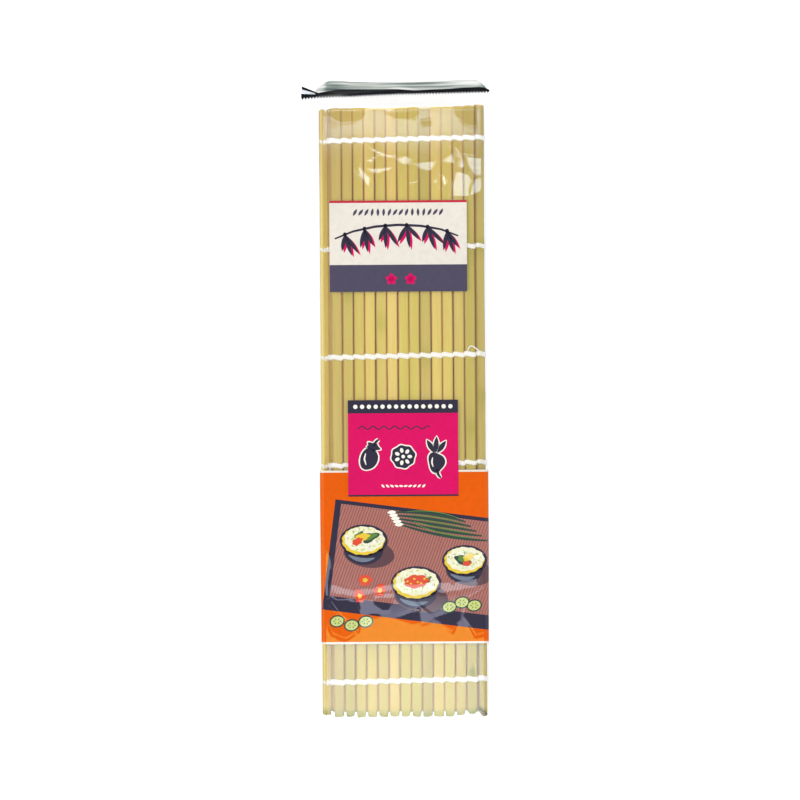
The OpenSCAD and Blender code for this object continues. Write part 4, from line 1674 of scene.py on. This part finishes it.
@dataclass
class Flap:
    """The folded end flap with its serrated seal strip."""

    bench: Bench
    pitch: float = 1.35
    tooth: float = 1.15
    drop: float = 0.4
    inset: float = 0.12
    ear_left: float = -44.4
    ear_right: float = -37.2
    lower_edge: tuple[Pair, ...] = (
        (-44.8, 138.7), (-37.4, 139.25), (-28.9, 139.55), (-21.9, 139.6), (-16.5, 139.9), (-1.6, 140.5),
        (5.5, 140.6), (10.7, 140.7), (20.6, 140.9), (27.1, 141.0), (36.7, 141.15), (38.6, 141.5),
    )
    upper_edge: tuple[Pair, ...] = (
        (-44.8, 141.2), (-38.0, 141.3), (-35.4, 141.8), (-32.3, 142.3), (-28.9, 142.9), (-21.9, 142.85),
        (-4.0, 142.95), (-1.6, 142.9), (5.5, 142.3), (10.7, 142.6), (20.6, 142.9), (27.1, 143.4), (33.9, 143.55),
        (36.7, 143.3), (38.6, 142.3),
    )
    top_edge: tuple[Pair, ...] = (
        (-38.6, 142.0), (-37.6, 143.6), (-34.8, 145.6), (-33.2, 146.6), (-31.2, 147.0), (-26.1, 146.7), (-22.4, 146.4),
        (-10.0, 146.1), (-1.6, 146.0), (15.2, 146.3), (25.4, 146.9), (29.9, 147.0), (32.8, 146.9), (35.3, 145.3),
        (36.9, 143.8),
    )
    grounds: tuple[Pair, ...] = (
        (-38.6, 0.95), (-35.0, 0.8), (-33.2, 0.45), (-24.0, 0.55), (-12.0, 0.7), (0.0, 0.62), (12.0, 0.62),
        (24.0, 0.8), (33.0, 0.9), (36.9, 0.5),
    )
    # Streaks of tone: place along X, depth from the upper edge towards the strip, length, breadth, and how much they
    # lighten or darken; the lightening ones run towards the painted highlight.
    streaks: tuple[tuple[float, float, float, float, float], ...] = (
        (-26.0, 0.2, 7.0, 0.12, 0.35), (-20.0, 0.6, 9.0, 0.1, -0.15), (-30.0, 0.6, 4.0, 0.25, -0.2),
        (-29.0, 0.85, 4.0, 0.12, -0.15), (-10.0, 0.9, 9.0, 0.1, -0.15), (-1.0, 0.75, 4.2, 0.16, 0.8),
        (4.0, 0.15, 14.0, 0.07, -0.3), (3.0, 0.45, 6.0, 0.07, -0.1), (20.0, 0.55, 7.0, 0.1, -0.3),
        (30.0, 0.3, 5.0, 0.2, 0.2), (10.0, 0.8, 8.0, 0.1, 0.15), (26.0, 0.85, 8.0, 0.12, -0.25),
        (35.0, 0.9, 2.0, 0.2, -0.4),
    )
    film: HeaderFinish = field(default_factory=HeaderFinish)
    seal: SealFinish = field(default_factory=SealFinish)
    lining: FilmFinish = FilmFinish("ear_film", srgb(226, 228, 232), 0.6, 0.1)

    def __post_init__(self) -> None:
        """Takes the flap's place from the frame."""
        self.low, self.high = box_mm("flap_film")
        self.strip_low, self.strip_high = box_mm("seal_strip")
        self.crease = hinge_line("flap_crease")
        self.crease_r = self.high.z - self.crease[1]

    def read(self, table: Sequence[Pair], x: float) -> float:
        """Reads a table of pairs at a place between them."""
        return float(np.interp(x, [pair[0] for pair in table], [pair[1] for pair in table]))

    def edge(self, table: Sequence[Pair], x: float) -> float:
        """Reads one of the flap's edges, let down a little towards the mat."""
        return self.read(table, x) - self.drop

    def tone(self, x: float, share: float) -> float:
        """Gives the film's tone from its upper edge, where the share is 0, to the strip."""
        tone = self.read(self.grounds, x)
        for at, deep, long, high, much in self.streaks:
            tone += much * math.exp(-(((x - at) / long) ** 2) - ((share - deep) / high) ** 2)
        return min(1.0, max(0.0, tone))

    def clear_part(self) -> None:
        """Folds the film over the crease."""
        rings, tones = [], []
        out = self.crease_r * 0.8
        left, right = self.top_edge[0][0], self.top_edge[-1][0]
        for x in steps(left, right, 0.9):
            nearest = min(x - left, right - x)
            end = self.edge(self.upper_edge, x) - 0.5
            reach = max(end + 0.2, self.edge(self.top_edge, x) - out)
            profile = []
            for i in range(7):
                angle = -math.pi / 2 + i * math.pi / 6
                profile.append((x, reach + out * math.cos(angle), self.crease[1] + out * math.sin(angle)))
            for k in steps(0, 1, 1 / 14)[1:]:
                fold = 0.1 * math.sin(k * 9 + x / 17) + 0.05 * math.sin(x / 2.3 + 4 * k)
                rise = (0.12 + fold) * math.sin(math.pi * k) * min(1.0, nearest / 3)
                profile.append((x, reach + (end - reach) * k, self.crease[1] + out + rise))
            rings.append(profile)
            tones += [self.tone(x, max(0, i - 6) / 14) for i in range(21)]
        piece = loft("flap_film_skin", rings, closed=False)
        write_tones(piece.data, "tone", tones)
        apply_modifier(piece, "SOLIDIFY", thickness=0.1 * MM, offset=0.0)
        face_out(piece)
        smooth(piece, 50.0)
        self.bench.hand_over(piece, self.film, "packet_flap", "film", "flap_film")

    def strip(self) -> None:
        """Cuts the dark strip with its fine teeth."""
        count = round((self.strip_high.x - self.strip_low.x) / self.pitch)
        rings, wear = [], []
        shares = (0.0, 0.15, 0.3, 0.45, 0.6, 0.8, 1.0)
        for i in range(2 * count + 1):
            x = self.strip_low.x + self.inset + (self.strip_high.x - self.strip_low.x - 2 * self.inset) * i / (2 * count)
            low, high = self.edge(self.lower_edge, x) - 0.35, self.edge(self.upper_edge, x) + 0.1
            notch = self.tooth if i % 2 == 0 else 0.0
            z = self.crease[1] + self.crease_r * 0.8 + 0.12 + 0.08 * math.sin(x / 5)
            rings.append([
                (x, low + notch * (1 - k) ** 3 + (high - low) * k, z + 0.05 * math.sin(7 * k)) for k in shares
            ])
            worn = ease((x + 39) / 2) * ease((-24 - x) / 5)
            wear += [0.9 * worn * ease((0.5 - k) / 0.12) for k in shares]
        piece = loft("seal_strip_skin", rings, closed=False)
        write_tones(piece.data, "wear", wear)
        apply_modifier(piece, "SOLIDIFY", thickness=0.22 * MM, offset=0.0)
        face_out(piece)
        self.bench.hand_over(piece, self.seal, "packet_flap", "seal", "seal_strip")

    def ear(self, name: str, finish: object, slot: str, low: Pair, breadth: Pair, rise: Pair) -> None:
        """Twists one layer of the strip's left end up and back.

        Args:
            name: The piece's name.
            finish: Its finish.
            slot: The record's material slot.
            low: Its lower edge along Y, at its right end and at its left.
            breadth: Breadth at its right end and at its left.
            rise: Height over the flap at its right end and at its left.
        """
        rings = []
        for k in steps(0, 1, 1 / 12):
            x = self.ear_right + (self.ear_left - self.ear_right) * k
            edge = low[0] + (low[1] - low[0]) * k - self.drop
            width = breadth[0] + (breadth[1] - breadth[0]) * k
            z = self.crease[1] + self.crease_r + rise[0] + (rise[1] - rise[0]) * k
            rings.append([(x, edge + width * j, z + 0.2 * math.sin(math.pi * j) * k) for j in steps(0, 1, 0.25)])
        piece = loft(name, rings, closed=False)
        apply_modifier(piece, "SOLIDIFY", thickness=0.14 * MM, offset=0.0)
        face_out(piece)
        smooth(piece, 50.0)
        self.bench.hand_over(piece, finish, "packet_flap", slot, "seal_strip")

    def build(self) -> None:
        """Makes the flap's pieces."""
        self.clear_part()
        self.strip()
        self.ear("seal_ear_fold", self.seal, "seal", (141.1, 143.2), (0.5, 1.3), (0.02, 0.12))
        self.ear("seal_ear_lining", self.lining, "film", (140.9, 141.2), (0.5, 2.2), (-0.03, 0.08))


@dataclass
class Studio:
    """Camera, floor and lights."""

    middle: Pair = (-1.9, 5.3)
    distance: float = 1200.0
    frame_width: float = 353.5
    look_z: float = 20.9
    lean_deg: float = 0.38
    sensor: float = 36.0
    soft_size: float = 1.4
    soft_power: Pair = (8.5, 4.0)
    world_level: float = 0.73
    mirrors: tuple[tuple[str, float, float, float], ...] = (
        ("low_mirror", -0.250, 0.150, 5.2), ("high_mirror", 0.254, 0.040, 6.4), ("spark_mirror", 0.335, 0.050, 10.0),
    )

    def camera(self) -> None:
        """Puts the camera straight above the mat."""
        data = bpy.data.cameras.new("camera")
        data.sensor_width = self.sensor
        data.lens = self.sensor * (self.distance - self.look_z) / self.frame_width
        data.clip_start = 0.01
        camera = bpy.data.objects.new("camera", data)
        camera.location = (self.middle[0] * MM, self.middle[1] * MM, self.distance * MM)
        camera.rotation_euler = (0.0, 0.0, -math.radians(self.lean_deg))
        bpy.context.scene.collection.objects.link(camera)
        bpy.context.scene.camera = camera

    def lamp(
        self, name: str, place: Sequence[float], size: Pair, power: float, aim: Sequence[float] | None = None
    ) -> bpy.types.Light:
        """Hangs a flat soft lamp.

        Args:
            name: The lamp's name.
            place: Where it hangs, in metres.
            size: Its width and height, in metres.
            power: Its power in watts.
            aim: The point that it faces, or None to face straight down.

        Returns:
            The lamp's settings.
        """
        data = bpy.data.lights.new(name, "AREA")
        data.shape = "RECTANGLE"
        data.size, data.size_y = size
        data.energy = power
        lamp = bpy.data.objects.new(name, data)
        lamp.location = place
        if aim is not None:
            lamp.rotation_euler = (Vector(aim) - Vector(place)).to_track_quat("-Z", "Y").to_euler()
        bpy.context.scene.collection.objects.link(lamp)
        return data

    def lights(self) -> None:
        """Hangs two soft lamps at the sides and three small ones that the film mirrors."""
        for side, power in zip((-1, 1), self.soft_power):
            size = (self.soft_size, self.soft_size)
            self.lamp(f"soft_{side}", (1.2 * side, 0.2, 1.1), size, power, (0, 0, 0.01))
        for name, y, deep, radiance in self.mirrors:
            size = (0.26, deep)
            self.lamp(name, (self.middle[0] * MM, y, 1.2), size, radiance * math.pi * size[0] * size[1])

    def floor(self) -> None:
        """Lays a pale floor that keeps the shadow and shows white."""
        deselect()
        bpy.ops.mesh.primitive_plane_add(size=6.0)
        floor = bpy.context.object
        floor.name = "floor"
        make = Recipe("floor")
        sight = make.add("LightPath", out="Is Camera Ray")
        others = make.math("ADD", sight, sight.node.outputs["Is Glossy Ray"])
        seen = make.math("MULTIPLY", others, 0.68)
        base = make.add("BsdfDiffuse", {"Color": srgb(200, 200, 200)})
        glow = make.add("Emission", {"Color": (1.0, 1.0, 1.0, 1.0), "Strength": seen})
        floor.data.materials.append(make.done(make.add("AddShader", {0: base, 1: glow})))

    def world(self) -> None:
        """Surrounds the scene with soft light that shows as white."""
        world = bpy.data.worlds.new("studio")
        world.use_nodes = True
        nodes, links = world.node_tree.nodes, world.node_tree.links
        nodes.clear()
        path = nodes.new("ShaderNodeLightPath")
        seen = nodes.new("ShaderNodeMath")
        seen.operation = "MAXIMUM"
        links.new(path.outputs["Is Camera Ray"], seen.inputs[0])
        links.new(path.outputs["Is Glossy Ray"], seen.inputs[1])
        soft, white = nodes.new("ShaderNodeBackground"), nodes.new("ShaderNodeBackground")
        soft.inputs["Strength"].default_value = self.world_level
        soft.inputs["Color"].default_value = (1.0, 1.0, 1.0, 1.0)
        white.inputs["Color"].default_value = (1.0, 1.0, 1.0, 1.0)
        mix = nodes.new("ShaderNodeMixShader")
        links.new(seen.outputs[0], mix.inputs[0])
        links.new(soft.outputs[0], mix.inputs[1])
        links.new(white.outputs[0], mix.inputs[2])
        output = nodes.new("ShaderNodeOutputWorld")
        links.new(mix.outputs[0], output.inputs["Surface"])
        bpy.context.scene.world = world

    def build(self) -> None:
        """Sets up the whole studio."""
        self.camera()
        self.lights()
        self.floor()
        self.world()
        bpy.context.scene.view_settings.view_transform = "Standard"


def main() -> None:
    """Builds the mat's looks, piece by piece."""
    logging.basicConfig(level=logging.INFO, format="%(message)s")
    bench = Bench()
    Studio().build()
    slats = Slats(bench)
    slats.build()
    first, second = box_mm("slat_01")[0].x, box_mm("slat_02")[0].x
    CordRows(bench, slats.width, slats.thick, second - first).build()
    packet = Packet(bench)
    packet.build()
    TitlePanel(packet, "title_print", "print_title", Paint.WHITE).build()
    PicturePanel(packet, "picture_print", "print_picture", Paint.ORANGE).build()
    NamePanel(packet, "name_print", "print_name", Paint.MAGENTA, level=0.24).build()
    Flap(bench).build()
    log.info("%d pieces", bench.count)


if __name__ == "__main__":
    main()
